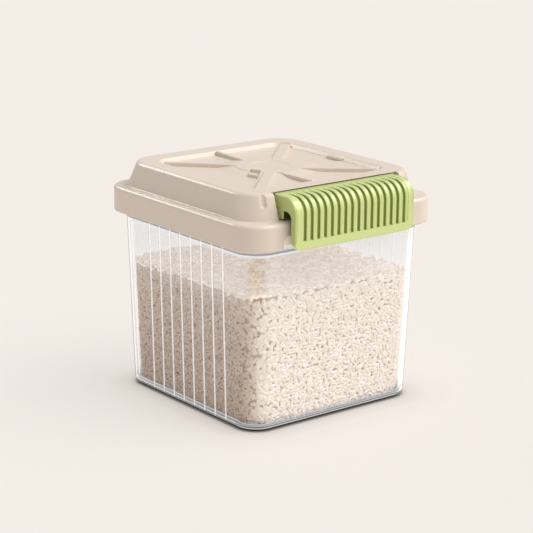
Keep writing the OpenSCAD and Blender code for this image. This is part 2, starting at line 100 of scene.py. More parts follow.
def finishMesh():
    bpy.ops.mesh.select_mode(type="FACE")
    bpy.ops.mesh.select_all(action="SELECT")
    bpy.ops.mesh.normals_make_consistent(inside=False)
    bpy.ops.object.mode_set(mode="OBJECT")


def addModifier(piece, kind, settings):
    # puts one modifier on the piece and applies it
    hold(piece)
    bpy.ops.object.modifier_add(type=kind)
    change = piece.modifiers[-1]
    for key, value in settings.items():
        setattr(change, key, value)
    bpy.ops.object.modifier_apply(modifier=change.name)


def combine(piece, tools, how):
    for tool in tools:
        addModifier(piece, "BOOLEAN", {"operation": how, "solver": "EXACT", "object": tool})
        bpy.data.objects.remove(tool)


def softEdges(piece, width, steps=2, angle=30):
    addModifier(piece, "BEVEL", {"width": width, "segments": steps, "limit_method": "ANGLE",
                                 "angle_limit": math.radians(angle), "use_clamp_overlap": True})


def smooth(piece, angle=35):
    # edges sharper than the angle stay sharp
    hold(piece)
    bpy.ops.object.shade_smooth_by_angle(angle=math.radians(angle))
    addModifier(piece, "WEIGHTED_NORMAL", {"keep_sharp": True, "weight": 100})


def named(piece, name):
    piece.name = name
    piece.data.name = name
    return piece


def join(pieces, name):
    letGo()
    for piece in pieces:
        piece.select_set(True)
    bpy.context.view_layer.objects.active = pieces[0]
    bpy.ops.object.join()
    return named(pieces[0], name)


def copyOf(piece, shift=(0, 0, 0), mirror=False):
    # a copy with its own mesh, moved or mirrored left to right
    hold(piece)
    bpy.ops.object.duplicate(linked=False)
    twin = bpy.context.object
    if mirror:
        twin.scale.x = -1
    twin.location = shift
    settle(twin)
    if mirror:
        bpy.ops.object.mode_set(mode="EDIT")
        finishMesh()
    return twin


def mark(mesh, label, domain, values):
    # one number for each point or face, which the materials read
    own = mesh.attributes.new(label, "FLOAT", domain)
    own.data.foreach_set("value", np.asarray(values, np.float32))


def dress(piece, finish, body, node):
    piece.data.materials.clear()
    piece.data.materials.append(finish.material)
    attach(piece, body)
    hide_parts(node)


def ring(size, inset, z, cornerLoss=None):
    # size is (width, depth, corner); the corner loses as much as the inset unless told
    wide, deep, corner = size
    loss = inset if cornerLoss is None else cornerLoss
    return (wide - 2 * inset, deep - 2 * inset, max(corner - loss, 0.3 * mm), z)


def quarter(steps, first=0, last=90):
    # (1 - cos, 1 - sin) along an arc, for rounded edges
    angles = [math.radians(first + (last - first) * i / steps) for i in range(steps + 1)]
    return [(1 - math.cos(a), 1 - math.sin(a)) for a in angles]


def shell(name, rings, closed=False):
    # one ring of points, extruded from level to level; it is capped, or closed round on itself
    wide, deep, corner, z = rings[0]
    letGo()
    bpy.ops.mesh.primitive_plane_add(size=1, location=(0, 0, z))
    piece = named(bpy.context.object, name)
    piece.scale = (wide, deep, 1)
    settle(piece)
    bpy.ops.object.mode_set(mode="EDIT")
    bpy.ops.mesh.select_mode(type="VERT")
    bpy.ops.mesh.select_all(action="SELECT")
    bpy.ops.mesh.bevel(offset_type="OFFSET", offset=corner, segments=cornerSteps, affect="VERTICES",
                       clamp_overlap=False)
    bpy.ops.mesh.select_all(action="SELECT")
    bpy.ops.mesh.delete(type="ONLY_FACE")
    bpy.ops.mesh.select_mode(type="EDGE")
    bpy.ops.mesh.select_all(action="SELECT")
    for last, level in zip(rings, rings[1:]):
        bpy.ops.mesh.extrude_edges_move()
        mesh = bmesh.from_edit_mesh(piece.data)
        for point in (p for p in mesh.verts if p.select):
            sideX = math.copysign(1, point.co.x)
            sideY = math.copysign(1, point.co.y)
            alongX = (point.co.x - sideX * (last[0] / 2 - last[2])) / last[2]
            alongY = (point.co.y - sideY * (last[1] / 2 - last[2])) / last[2]
            point.co = (sideX * (level[0] / 2 - level[2]) + alongX * level[2],
                        sideY * (level[1] / 2 - level[2]) + alongY * level[2], level[3])
        bmesh.update_edit_mesh(piece.data)
    bpy.ops.mesh.select_all(action="DESELECT")
    bpy.ops.mesh.select_non_manifold()
    if closed:
        bpy.ops.mesh.bridge_edge_loops()
    else:
        bpy.ops.mesh.fill_holes(sides=0)
    finishMesh()
    return piece


def flatOutline(name, points):
    # a flat face through the points, left in edit mode and selected all over
    letGo()
    bpy.ops.mesh.primitive_circle_add(vertices=len(points), radius=mm, fill_type="NGON")
    piece = named(bpy.context.object, name)
    for point, place in zip(piece.data.vertices, points):
        point.co = place
    bpy.ops.object.mode_set(mode="EDIT")
    bpy.ops.mesh.select_all(action="SELECT")
    return piece


def plate(name, outline, low, high, axis="X"):
    # an outline given thickness: along X it is (y, z), along Y it is (x, z), along Z it is (x, y)
    turned = "XYZ".index(axis)
    piece = flatOutline(name, [(*point[:turned], low, *point[turned:]) for point in outline])
    move = [high - low if label == axis else 0 for label in "XYZ"]
    bpy.ops.mesh.extrude_region_move(TRANSFORM_OT_translate={"value": move})
    finishMesh()
    return piece


def barAlongX(name, y, z, radius, low, high, sides=48):
    letGo()
    bpy.ops.mesh.primitive_cylinder_add(vertices=sides, radius=radius, depth=high - low,
                                        location=((low + high) / 2, y, z), rotation=(0, math.pi / 2, 0))
    piece = named(bpy.context.object, name)
    settle(piece)
    return piece


def block(name, low, high):
    letGo()
    bpy.ops.mesh.primitive_cube_add(size=1, location=[(a + b) / 2 for a, b in zip(low, high)])
    piece = named(bpy.context.object, name)
    piece.scale = [b - a for a, b in zip(low, high)]
    settle(piece)
    return piece


def arc(centre, radius, first, last, steps):
    # points on an arc, angles in degrees
    angles = [math.radians(first + (last - first) * i / steps) for i in range(steps + 1)]
    return [(centre[0] + radius * math.cos(a), centre[1] + radius * math.sin(a)) for a in angles]


class Wire:
    # one value in a material; sums, products and comparisons of wires add Math nodes
    def __init__(self, finish, socket):
        self.finish = finish
        self.socket = socket

    def __add__(self, other):
        return self.finish.reckon("ADD", self, other)

    def __sub__(self, other):
        return self.finish.reckon("SUBTRACT", self, other)

    def __rsub__(self, other):
        return self.finish.reckon("SUBTRACT", other, self)

    def __mul__(self, other):
        return self.finish.reckon("MULTIPLY", self, other)

    def __pow__(self, other):
        return self.finish.reckon("POWER", self, other)

    def __gt__(self, other):
        return self.finish.reckon("GREATER_THAN", self, other)

    def __lt__(self, other):
        return self.finish.reckon("LESS_THAN", self, other)

    __radd__ = __add__
    __rmul__ = __mul__


class Finish:
    # one material: fixed numbers sit on the shader's own sockets, what varies is fed to it
    def __init__(self, name, fixed):
        self.material = bpy.data.materials.new(name)
        self.material.use_nodes = True
        self.tree = self.material.node_tree
        self.shader = self.tree.nodes["Principled BSDF"]
        for label, value in fixed.items():
            self.shader.inputs[label].default_value = value
        self.place = self.node("ShaderNodeTexCoord", {}, {}, "Object")

    def node(self, kind, settings, values, out=0):
        made = self.tree.nodes.new(kind)
        for key, value in settings.items():
            if key != "stops":
                setattr(made, key, value)
                continue
            while len(made.color_ramp.elements) < len(value):
                made.color_ramp.elements.new(0.5)
            for stop, (where, colour) in zip(made.color_ramp.elements, value):
                stop.position = where
                stop.color = colour
        for key, value in values.items():
            self.plug(made.inputs[key], value)
        return Wire(self, made.outputs[out])

    def plug(self, socket, value):
        if isinstance(value, Wire):
            self.tree.links.new(value.socket, socket)
        else:
            socket.default_value = value

    def feed(self, label, value):
        self.plug(self.shader.inputs[label], value)

    def reckon(self, how, first, second):
        return self.node("ShaderNodeMath", {"operation": how}, {0: first, 1: second})

    def vector(self, how, first, second=(0, 0, 0), out=0):
        return self.node("ShaderNodeVectorMath", {"operation": how}, {0: first, 1: second}, out)

    def along(self, axis, vector):
        return self.node("ShaderNodeSeparateXYZ", {}, {0: vector}, axis)

    def attribute(self, name):
        return self.node("ShaderNodeAttribute", {"attribute_name": name}, {}, "Fac")

    def facing(self, blend):
        # 0 face on, 1 edge on
        return self.node("ShaderNodeLayerWeight", {}, {"Blend": blend}, "Facing")

    def rise(self, value, first, last, most=1.0):
        # a soft step from 0 up to most
        return self.node("ShaderNodeMapRange", {"interpolation_type": "SMOOTHSTEP"},
                         {"Value": value, "From Min": first, "From Max": last, "To Max": most}, "Result")

    def ramp(self, share, stops):
        return self.node("ShaderNodeValToRGB", {"stops": stops}, {"Fac": share}, "Color")

    def noise(self, scale, detail, where=None):
        return self.node("ShaderNodeTexNoise", {},
                         {"Vector": where or self.place, "Scale": scale, "Detail": detail}, "Fac")

    def blend(self, share, first, second, how="MIX"):
        return self.node("ShaderNodeMix", {"data_type": "RGBA", "blend_type": how},
                         {"Factor": share, 6: first, 7: second}, 2)

    def bump(self, height, strength, distance):
        self.feed("Normal", self.node("ShaderNodeBump", {}, {"Height": height, "Strength": strength,
                                                             "Distance": distance}, "Normal"))

    def pastFoot(self):
        # how far a place lies outside the straight part of the bin's foot, along X and Y
        wide, deep, corner = binShape["foot"]
        apart = self.vector("ABSOLUTE", self.place)
        return self.vector("SUBTRACT", apart, (wide / 2 - corner, deep / 2 - corner, 1))


def tone(red, green, blue):
    # a colour from 0-255 screen values
    def light(value):
        share = value / 255
        return share / 12.92 if share <= 0.04045 else ((share + 0.055) / 1.055) ** 2.4
    return (light(red), light(green), light(blue), 1.0)


def grey(value):
    return (value, value, value, 1)


black = grey(0.0)


binShape = {
    "foot": (175 * mm, 180 * mm, 21 * mm),      # width, depth and corner
    "flare": 4.8 * mm,         # how much farther out each wall stands at the mouth
    "wall": 2.4 * mm,
    "floor": 4 * mm,
    "footRound": 5 * mm,
    "step": 1 * mm,
    "stepIn": 6 * mm,
    "flangeZ": 155.6 * mm,
    "flangeThick": 2.6 * mm,
    "flangeCorner": 20.9 * mm,
    "flutes": 8,
    "flutePitch": 14.5 * mm,
    "fluteRound": 1.3 * mm,
    "fluteShift": 5.5 * mm,
    "fluteStop": 1 * mm,       # flutes stop this far under the flange
}

mouthZ = binHigh.z
binFlange = (2 * binHigh.x, -2 * binLow.y, binShape["flangeCorner"])

cameraSet = {
    "azimuth": -38.2,        # degrees, 0 looks along +Y
    "elevation": 15.28,
    "roll": 0.49,
    "distance": 1595.41 * mm,
    "across": -1.26 * mm,    # how far the camera stands off the bin's axis
    "height": 103.19 * mm,
    "lens": 124.4,
}


def makeCamera():
    azimuth, elevation, roll = (math.radians(cameraSet[key]) for key in ("azimuth", "elevation", "roll"))
    back = Vector((math.sin(azimuth) * math.cos(elevation), -math.cos(azimuth) * math.cos(elevation),
                   math.sin(elevation)))
    level = Vector((math.cos(azimuth), math.sin(azimuth), 0))
    upright = back.cross(level)
    right = math.cos(roll) * level + math.sin(roll) * upright
    up = -math.sin(roll) * level + math.cos(roll) * upright
    bpy.ops.object.camera_add()
    camera = bpy.context.object
    camera.name = "camera"
    turn = Matrix((right, up, back)).transposed()
    camera.matrix_world = Matrix.Translation(back * cameraSet["distance"] + right * cameraSet["across"]
                                             + up * cameraSet["height"]) @ turn.to_4x4()
    camera.data.lens = cameraSet["lens"]
    camera.data.clip_end = 100
    bpy.context.scene.camera = camera


lightSet = {
    "sky": 0.56,
    "skyColour": (0.98, 0.965, 0.955, 1),
    "sun": 2.3,
    "sunColour": (1.0, 0.985, 0.965),
    "sunSpread": 55,           # degrees
    "sunFrom": (0.68, -0.64, 1.15),
    "floorGlow": 0.745,
    "shadeIn": 6 * mm,         # the floor's own light starts this far under the foot
    "shadeReach": 52 * mm,     # and is full this much farther out
}
# painted shadow: the floor's own light by the share of that distance, none right under the foot
floorPaintedShadow = [(0.03, (0.0, 0.0, 0.0, 1)), (0.09, (0.2, 0.19, 0.18, 1)), (0.125, (0.68, 0.66, 0.64, 1)),
              (0.22, (0.84, 0.83, 0.82, 1)), (0.5, (0.96, 0.955, 0.95, 1)), (1.0, (1, 1, 1, 1))]
# soft boxes that show as reflections: (place, aimed at, width, height, watts, colour)
softBoxes = {
    "frontBox": ((0.55, -1.1, 0.9), (0, 0, 0.1), 0.5, 0.9, 1.6, (1.0, 0.99, 0.98)),
    "sideBox": ((-1.2, 0.1, 0.9), (0, 0, 0.1), 0.4, 0.9, 1.0, (1.0, 0.99, 0.98)),
    "backBox": ((-0.42, 1.2, 0.95), (0, 0, 0.16), 0.7, 0.3, 10.0, (1.0, 0.98, 0.96)),
    "rightBox": ((0.95, -0.35, 1.2), (0, 0, 0.16), 0.6, 0.3, 4.5, (1.0, 0.99, 0.98)),
}


def addLight(kind, name, place, aim, power, colour):
    letGo()
    bpy.ops.object.light_add(type=kind, location=place)
    lamp = bpy.context.object
    lamp.name = name
    lamp.data.energy = power
    lamp.data.color = colour
    lamp.rotation_euler = (Vector(place) - Vector(aim)).to_track_quat("Z", "Y").to_euler()
    return lamp


def paleFloor():
    finish = Finish("paleFloor", {"Roughness": 0.75, "Specular IOR Level": 0.2,
                                  "Emission Strength": lightSet["floorGlow"]})
    mottle = finish.noise(3, 3)
    finish.feed("Base Color", finish.blend(mottle, tone(120, 116, 112), tone(118, 114, 110)))
    # painted shadow: near the foot the floor gives less light of its own, none right under it, so the bin's
    # shade can be seen there
    bright = finish.blend(mottle, tone(246, 239, 233), tone(245, 238, 232))
    outside = finish.vector("MAXIMUM", finish.pastFoot())
    distance = finish.vector("LENGTH", outside, out="Value") - binShape["foot"][2]
    near = finish.ramp((distance + lightSet["shadeIn"]) * (1 / lightSet["shadeReach"]), floorPaintedShadow)
    finish.feed("Emission Color", finish.blend(1.0, bright, near, "MULTIPLY"))
    return finish


def makeStage():
    scene = bpy.context.scene
    scene.view_settings.view_transform = "Standard"
    scene.world = bpy.data.worlds.new("studio")
    scene.world.use_nodes = True
    sky = scene.world.node_tree.nodes["Background"]
    sky.inputs["Color"].default_value = lightSet["skyColour"]
    sky.inputs["Strength"].default_value = lightSet["sky"]
    sun = addLight("SUN", "sun", Vector(lightSet["sunFrom"]) * 3, (0, 0, 0), lightSet["sun"],
                   lightSet["sunColour"])
    sun.data.angle = math.radians(lightSet["sunSpread"])
    for name, (place, aim, wide, high, watts, colour) in softBoxes.items():
        lamp = addLight("AREA", name, place, aim, watts, colour)
        lamp.data.shape = "RECTANGLE"
        lamp.data.size = wide
        lamp.data.size_y = high
        lamp.visible_camera = False
        lamp.visible_diffuse = False
    floor = block("floor", (-12, -12, -0.02), (12, 12, -0.2 * mm))
    floor.data.materials.append(paleFloor().material)


def beigePlastic():
    finish = Finish("beigePlastic", {"IOR": 1.49, "Specular IOR Level": 0.5, "Emission Strength": 0.3})
    # painted light: the flat arch beside the latch glows pale
    finish.feed("Emission Color", finish.blend(finish.attribute("pocketGlow"), black, tone(236, 218, 206)))
    finish.feed("Base Color", finish.blend(finish.noise(14, 3), tone(226, 213, 199), tone(223, 209, 194)))
    finish.feed("Roughness", finish.noise(40, 2) * 0.08 + 0.32)
    finish.bump(finish.noise(2600, 2) * 0.7 + finish.noise(700, 2) * 0.3, 0.12, 0.2 * mm)
    return finish


def greenPlastic():
    finish = Finish("greenPlastic", {"IOR": 1.49, "Specular IOR Level": 0.5, "Coat Weight": 0.2,
                                     "Coat Roughness": 0.2, "Emission Strength": 0.25})
    skin = finish.blend(finish.noise(22, 3), tone(210, 221, 150), tone(205, 217, 142))
    # painted shade: darker green deep in the grooves, and some on the flat ends
    low = finish.rise(finish.attribute("grooveDepth"), 0.1, 0.5)
    skin = finish.blend(low * 0.85, skin, tone(124, 142, 34))
    # painted shade: the hollow between the two legs is painted dark brown, as it gets hardly any light
    (innerY, innerZ), slack = latchInner, 0.06 * mm
    past = finish.vector("SUBTRACT", finish.place, (0, innerY, innerZ))
    towards = finish.vector("MAXIMUM", finish.vector("MULTIPLY", past, (0, -1, 1)))
    hollow = finish.vector("LENGTH", towards, out="Value") < latchShape["innerRound"] + slack
    hollow = hollow * (finish.along("Y", past) < pivotAt.y - latchShape["legReach"] - innerY + slack)
    finish.feed("Base Color", finish.blend(hollow * 0.85, skin, tone(48, 40, 20)))
    # painted highlight: the rounded edges glow, and the flat ends a little, outside the hollow
    edges = finish.attribute("edgeGlow") * (1 - hollow)
    finish.feed("Emission Color", finish.blend(edges, black, tone(236, 243, 176)))
    finish.feed("Roughness", finish.noise(60, 2) * 0.1 + 0.3)
    finish.bump(finish.noise(2600, 2), 0.08, 0.2 * mm)
    return finish


# painted reflections and painted light: how the clear plastic looks from face on (0) to edge on (1), and by
# height; its glow, white edges and grey lines are painted
clearSet = {
    "glow": 0.3,
    "gloss": 0.035,
    "body": [(0.0, grey(0.01)), (0.24, grey(0.03)), (0.43, grey(0.035)), (0.52, grey(0.4)),
             (0.64, grey(0.75)), (1.0, grey(0.85))],
    "paintedReflection": [(0.0, (0.78, 0.82, 0.87, 1)), (0.43, (0.78, 0.82, 0.87, 1)), (0.52, grey(1.0)),
              (0.66, grey(1.0)), (0.74, grey(0.42)), (0.84, grey(0.38)), (0.93, grey(0.85)),
              (1.0, grey(1.0))],
    "clearWalls": 0.43,        # a flat wall never looks more edge on than this
    "wallFrom": 8 * mm,
    "wallTo": 150.4 * mm,
    "cornerFade": 3 * mm,
    "paintedVeil": 0.14,
    "veilFrom": 98 * mm,
    "veilTo": 122 * mm,
    "veilTurn": (0.07, 0.15),  # the corner that faces the eye stays clear
    # painted light and shade: lines along the thick foot and under the lid's skirt; the dark band at the
    # foot's bottom is a painted contact shadow and the dark line under the skirt a painted shadow line:
    # (height in mm, how solid), (height, how bright)
    "bandBody": [(0, 1.0), (1.15, 1.0), (1.5, 0.9), (2.4, 0.85), (2.9, 0.45), (3.5, 0.35), (4.0, 0.8),
                 (4.6, 0.75), (5.0, 0.5), (5.6, 0.7), (6.1, 0.4), (7.2, 0.05), (8.2, 0), (146.3, 0),
                 (146.7, 0.7), (148.4, 0.7), (148.7, 0.8), (150, 0.8), (150.4, 0.2)],
    "bandPaintedLightShade": [(0, 0.12), (1.15, 0.14), (1.5, 1), (2.4, 1), (2.9, 0.4), (3.5, 0.9), (4.0, 0.13),
                  (4.6, 0.16), (5.0, 1), (5.6, 0.9), (6.1, 0.45), (6.5, 1), (148.4, 1), (148.7, 0.3),
                  (150, 0.3), (150.4, 1)],
}
# the flutes have neither painted veil nor bands; their bright middle line and glow are painted highlight
ridgeSet = {
    "glow": 0.34,
    "gloss": 0.02,
    "body": [(0.0, grey(0.46)), (0.09, grey(0.46)), (0.2, grey(0.08)), (0.35, grey(0.1)), (0.5, grey(0.16)),
             (0.75, grey(0.05)), (1.0, grey(0.0))],
    "paintedReflection": [(0.0, grey(1.0)), (0.15, grey(1.0)), (0.26, grey(0.3)), (1.0, grey(0.3))],
}


def clearPlastic(name, look):
    # painted reflections: see-through face on, painted whiter towards the edges, with a painted grey line at
    # the very rim of each form
    finish = Finish(name, {"IOR": 1.49, "Emission Strength": look["glow"]})
    edgeOn = turned = finish.facing(0.5)
    height = finish.along("Z", finish.place)
    if "clearWalls" in look:
        # flat walls stay clear from any side; only the rounded corners, foot and flange are painted white
        past = finish.pastFoot()
        nearer = finish.reckon("MINIMUM", finish.along("X", past), finish.along("Y", past))
        inCorner = finish.rise(nearer, 0.0, look["cornerFade"])
        wall = (height > look["wallFrom"]) * (height < look["wallTo"])
        most = finish.reckon("MINIMUM", edgeOn, look["clearWalls"])
        turned = most + (edgeOn - most) * (1 - wall * (1 - inCorner))
    solid = finish.ramp(turned, look["body"])
    colour = finish.ramp(turned, look["paintedReflection"])
    if "paintedVeil" in look:
        # painted reflection: a whitish veil high on the walls
        paintedVeil = finish.rise(height, look["veilFrom"], look["veilTo"], look["paintedVeil"])
        paintedVeil = paintedVeil * finish.rise(edgeOn, *look["veilTurn"])
        share = height * (1 / mouthZ)
        bandBody, bandPaintedLightShade = [finish.ramp(share, [(z * mm / mouthZ, grey(value)) for z, value in look[key]])
                               for key in ("bandBody", "bandPaintedLightShade")]
        solid = solid + paintedVeil + bandBody
        colour = finish.blend(1.0, colour, bandPaintedLightShade, "MULTIPLY")
    # the painted colour is both the surface's colour and its glow, which is painted light
    finish.feed("Base Color", colour)
    finish.feed("Emission Color", colour)
    finish.feed("Roughness", finish.noise(30, 2) * 0.04 + 0.08)
    clear = finish.node("ShaderNodeBsdfTransparent", {}, {}, "BSDF")
    mirror = finish.node("ShaderNodeBsdfGlossy", {}, {"Roughness": 0.03}, "BSDF")
    milky = Wire(finish, finish.shader.outputs[0])
    inside = finish.node("ShaderNodeMixShader", {}, {0: solid, 1: clear, 2: milky})
    gloss = edgeOn ** 5 * 0.25 + look["gloss"]
    whole = finish.node("ShaderNodeMixShader", {}, {0: gloss, 1: inside, 2: mirror})
    finish.plug(finish.tree.nodes["Material Output"].inputs["Surface"], whole)
    return finish


# painted light and shade, lit and shaded copies of one tone: (darker grains, paler grains) on the lit sides,
# on the top and on the side turned from the light
riceTones = {
    "lit": (tone(234, 223, 213), tone(248, 242, 235)),
    "top": (tone(216, 200, 184), tone(247, 242, 236)),
    "shaded": (tone(180, 153, 129), tone(206, 182, 158)),
}


def riceGrain(name, tones, glow):
    # painted light: light that soaks through the grains is given as a faint glow, none on the side painted in
    # shade
    finish = Finish(name, {"Specular IOR Level": 0.35, "Roughness": 0.5, "Emission Strength": glow})
    own, turned = finish.attribute("grainTone"), finish.attribute("grainShade")
    skin = finish.blend(turned, finish.blend(own, *riceTones[tones]), finish.blend(own, *riceTones["shaded"]))
    skin = finish.blend(finish.noise(900, 2) * 0.16, skin, tone(226, 206, 184))
    # painted shade: each grain is painted a little darker towards its edges as seen, where its surface turns
    # edge on
    skin = finish.blend(finish.facing(0.35) * 0.28, skin, tone(212, 188, 160))
    finish.feed("Base Color", skin)
    finish.feed("Emission Color", finish.blend(turned, skin, black))
    return finish


def riceDeep():
    finish = Finish("riceDeep", {"Roughness": 0.8})
    # painted shade: the rice behind the outer grains is a warmer, darker tone than theirs, for the shade in
    # the gaps between them
    finish.feed("Base Color", finish.blend(finish.noise(260, 3), tone(222, 199, 175), tone(236, 219, 200)))
    finish.bump(finish.noise(420, 2), 0.8, 2 * mm)
    return finish


def silicone():
    finish = Finish("silicone", {"Specular IOR Level": 0.3, "Subsurface Weight": 0.2})
    finish.feed("Base Color", finish.blend(finish.noise(30, 2), tone(238, 237, 232), tone(230, 229, 224)))
    finish.feed("Roughness", finish.noise(80, 2) * 0.12 + 0.5)
    finish.bump(finish.noise(1800, 2), 0.1, 0.2 * mm)
    return finish


def steel():
    finish = Finish("steel", {"Metallic": 1.0})
    stretched = finish.node("ShaderNodeMapping", {}, {"Vector": finish.place, "Scale": (20, 900, 900)})
    grain = finish.noise(3, 2, stretched)
    finish.feed("Base Color", finish.blend(grain, tone(196, 198, 202), tone(214, 215, 218)))
    finish.feed("Roughness", grain * 0.16 + 0.24)
    return finish


lidShape = {
    "corner": 24 * mm,
    "wall": 2.4 * mm,
    "ledge": 8 * mm,           # from the rim's edge to the dome's foot
    "ledgeThick": 2.4 * mm,
    "domeHigh": 21 * mm,
    "domeLean": 5.7 * mm,
    "domeCorner": 27 * mm,
    "domeRound": 4.2 * mm,
    "rimRound": 3.5 * mm,
    "skirtRound": 1.6 * mm,
    "fillet": 1.6 * mm,        # hollow between dome and ledge
    "recess": 139 * mm,
    "recessCorner": 12 * mm,
    "recessDeep": 3.6 * mm,
    "lineHigh": 4.5 * mm,      # height of the faint line over the skirt's edge
    "lineHalf": 1.2 * mm,
    "lineOut": 0.12 * mm,
    "sealMid": (182.2 * mm, 187.2 * mm, 19.8 * mm),
    "sealRoom": 3.25 * mm,     # half the width of the seal's channel
    "keeper": 1.5 * mm,        # thickness of the walls that hold the seal
    "keeperIn": 5.2 * mm,      # how far the inner and the outer one reach down
    "keeperOut": 2.2 * mm,
}

rimBack = -lidLow.y
domeTop = lidHigh.z
ledgeZ = domeTop - lidShape["domeHigh"]
recessZ = domeTop - lidShape["recessDeep"]
domeFront = lidLow.y + lidShape["ledge"]
domeSize = (2 * (lidHigh.x - lidShape["ledge"]), -2 * domeFront, lidShape["domeCorner"])
wallAtPivot = domeFront + lidShape["domeLean"] * (pivotAt.z - ledgeZ) / lidShape["domeHigh"]


def domeArc(shrink, top):
    # from the leaning wall up to the flat top
    s = lidShape
    turn, high = s["domeRound"], s["domeHigh"]
    inward = shrink + s["domeLean"] * (top - turn - ledgeZ) / high
    lean = math.degrees(math.atan(s["domeLean"] / high))
    return [ring(domeSize, inward + turn * c, top - turn * h, shrink + turn * c)
            for c, h in quarter(7, lean, 90)]


def lidRings():
    s = lidShape
    rim = (2 * lidHigh.x, -2 * lidLow.y, s["corner"])
    recess = (s["recess"], s["recess"], s["recessCorner"])
    skirtZ, underLedge = lidLow.z, ledgeZ - s["ledgeThick"]
    wall, mid, room, keeper = s["wall"], s["sealMid"], s["sealRoom"], s["keeper"]
    keeperIn, keeperOut = underLedge - s["keeperIn"], underLedge - s["keeperOut"]
    inside = [
        ring(recess, -wall, recessZ - wall), ring(recess, -wall, domeTop - wall),
        *reversed(domeArc(wall, domeTop - wall)), ring(domeSize, wall, ledgeZ),
        ring(mid, room + keeper, ledgeZ), ring(mid, room + keeper, keeperIn),
        ring(mid, room, keeperIn), ring(mid, room, underLedge),
        ring(mid, -room, underLedge), ring(mid, -room, keeperOut),
        ring(mid, -room - keeper, keeperOut), ring(mid, -room - keeper, underLedge),
        ring(rim, wall, underLedge), ring(rim, wall, skirtZ + 0.4 * mm), ring(rim, wall - 0.2 * mm, skirtZ),
    ]
    lower, upper, hollow = s["skirtRound"], s["rimRound"], s["fillet"]
    edge = [ring(rim, lower * c, skirtZ + lower * h) for c, h in reversed(quarter(5))]
    lineZ, half, out = skirtZ + s["lineHigh"], s["lineHalf"], s["lineOut"]
    side = [ring(rim, out, lineZ - half), ring(rim, 0, lineZ), ring(rim, out, lineZ + half),
            ring(rim, out, ledgeZ - upper - 1 * mm)]
    shoulder = [ring(rim, upper * c, ledgeZ - upper * h) for c, h in quarter(8)]
    foot = [ring(domeSize, -hollow * h, ledgeZ + hollow * c, -hollow * h) for c, h in quarter(5)]
    # the recess has a soft lip, a leaning wall and a soft foot
    well = [ring(recess, -1.5 * mm, domeTop), ring(recess, -0.6 * mm, domeTop - 0.25 * mm),
            ring(recess, 0, domeTop - 0.9 * mm), ring(recess, 1.3 * mm, recessZ + 0.6 * mm),
            ring(recess, 1.9 * mm, recessZ + 0.15 * mm), ring(recess, 2.8 * mm, recessZ)]
    # its floor swells up to the hub, on nearly round rings
    swell = []
    for past, lift in starShape["swell"]:
        out = starShape["hub"] + past * mm
        swell.append((2 * out, 2 * out, 0.995 * out, recessZ + lift * mm))
    return inside + edge + side + shoulder + foot + domeArc(0, domeTop) + well + swell


starShape = {
    "below": 0.5 * mm,         # spokes stop short of the top ring
    "hubBelow": 1 * mm,        # the hub lies lower than the ring
    "hub": 29 * mm,
    "pocket": 16.5 * mm,
    "pocketDeep": 2.5 * mm,
    "swell": [(19, 0), (15, 0.1), (11, 0.55), (7, 1.3), (3.5, 1.95), (0, 2.35), (-5, 2.45)],
    # two wide bars and four thin spokes, in mm: (angle, width, how far its middle line is moved sideways,
    # start inside the hub, stop short of the recess, lift at the inner and outer end, round edge)
    "runs": [(45, 9.5, -3, 8, 7, 0.15, -0.5, 0.7), (225, 9.5, 3, 2, 7, 0.15, -0.5, 0.7),
             (135, 4, 3.5, 3, 9, 0.4, 0.2, 0.5), (90, 4, 3.5, 0, 0.5, 0.1, 0.4, 0.5),
             (320, 4, -9.3, 8, 11, 0.4, 0.2, 0.5), (270, 4, -9.3, 6, 0.5, 0.1, 0.3, 0.5)],
    "window": [(-22.1, -2.5), (-18.1, -11.4), (-34.0, -27.4), (-36.5, -17.8)],
    "windowRim": 1.3 * mm,
    "padMiddle": -4 * mm,
    "padLong": 18 * mm,
    "padOut": 5 * mm,
    "padTurn": 4 * mm,
    "root": 0.5 * mm,          # how far the raised forms start under the recess's floor
}


def shrunk(outline, amount):
    # a four-sided outline moved in towards its middle
    middle = [sum(values) / len(outline) for values in zip(*outline)]
    return [tuple(c + (v - c) * (1 - amount / max(abs(v - c), amount)) for v, c in zip(point, middle))
            for point in outline]


def starRun(angle, wide, shift, start, stop, innerLift, outerLift, soft):
    # one bar or spoke, highest at its outer end
    s = starShape
    floorZ = recessZ - s["root"]
    reach = lidShape["recess"] / 2 * (math.sqrt(2) if angle % 90 else 1)
    inner, outer = s["hub"] - (2 + start) * mm, reach - stop * mm
    outline = [(inner, floorZ), (outer, floorZ), (outer, domeTop - s["below"] + outerLift * mm),
               (inner, domeTop - s["hubBelow"] + innerLift * mm)]
    run = plate("starRun", outline, (shift - wide / 2) * mm, (shift + wide / 2) * mm, "Y")
    softEdges(run, soft * mm, 3)
    run.rotation_euler.z = math.radians(angle)
    settle(run)
    return run


def starHub():
    s = starShape
    letGo()
    bpy.ops.mesh.primitive_cylinder_add(vertices=96, radius=s["hub"], depth=3 * mm,
                                        location=(0, 0, domeTop - s["hubBelow"] - 1.5 * mm))
    hub = bpy.context.object
    settle(hub)
    bpy.ops.object.mode_set(mode="EDIT")
    pick("FACE", lambda at, normal: normal.z > 0.9)
    edge, lip = 1.2 * mm, 0.35 * mm
    bpy.ops.mesh.inset(thickness=edge)
    bpy.ops.transform.translate(value=(0, 0, 0.12 * mm))
    for inward, deep in ((s["hub"] - s["pocket"] - edge, 0), (lip, -0.25 * mm), (lip, lip - s["pocketDeep"]),
                         (0.5 * mm, -0.1 * mm)):
        bpy.ops.mesh.inset(thickness=inward, depth=deep)
    finishMesh()
    return hub


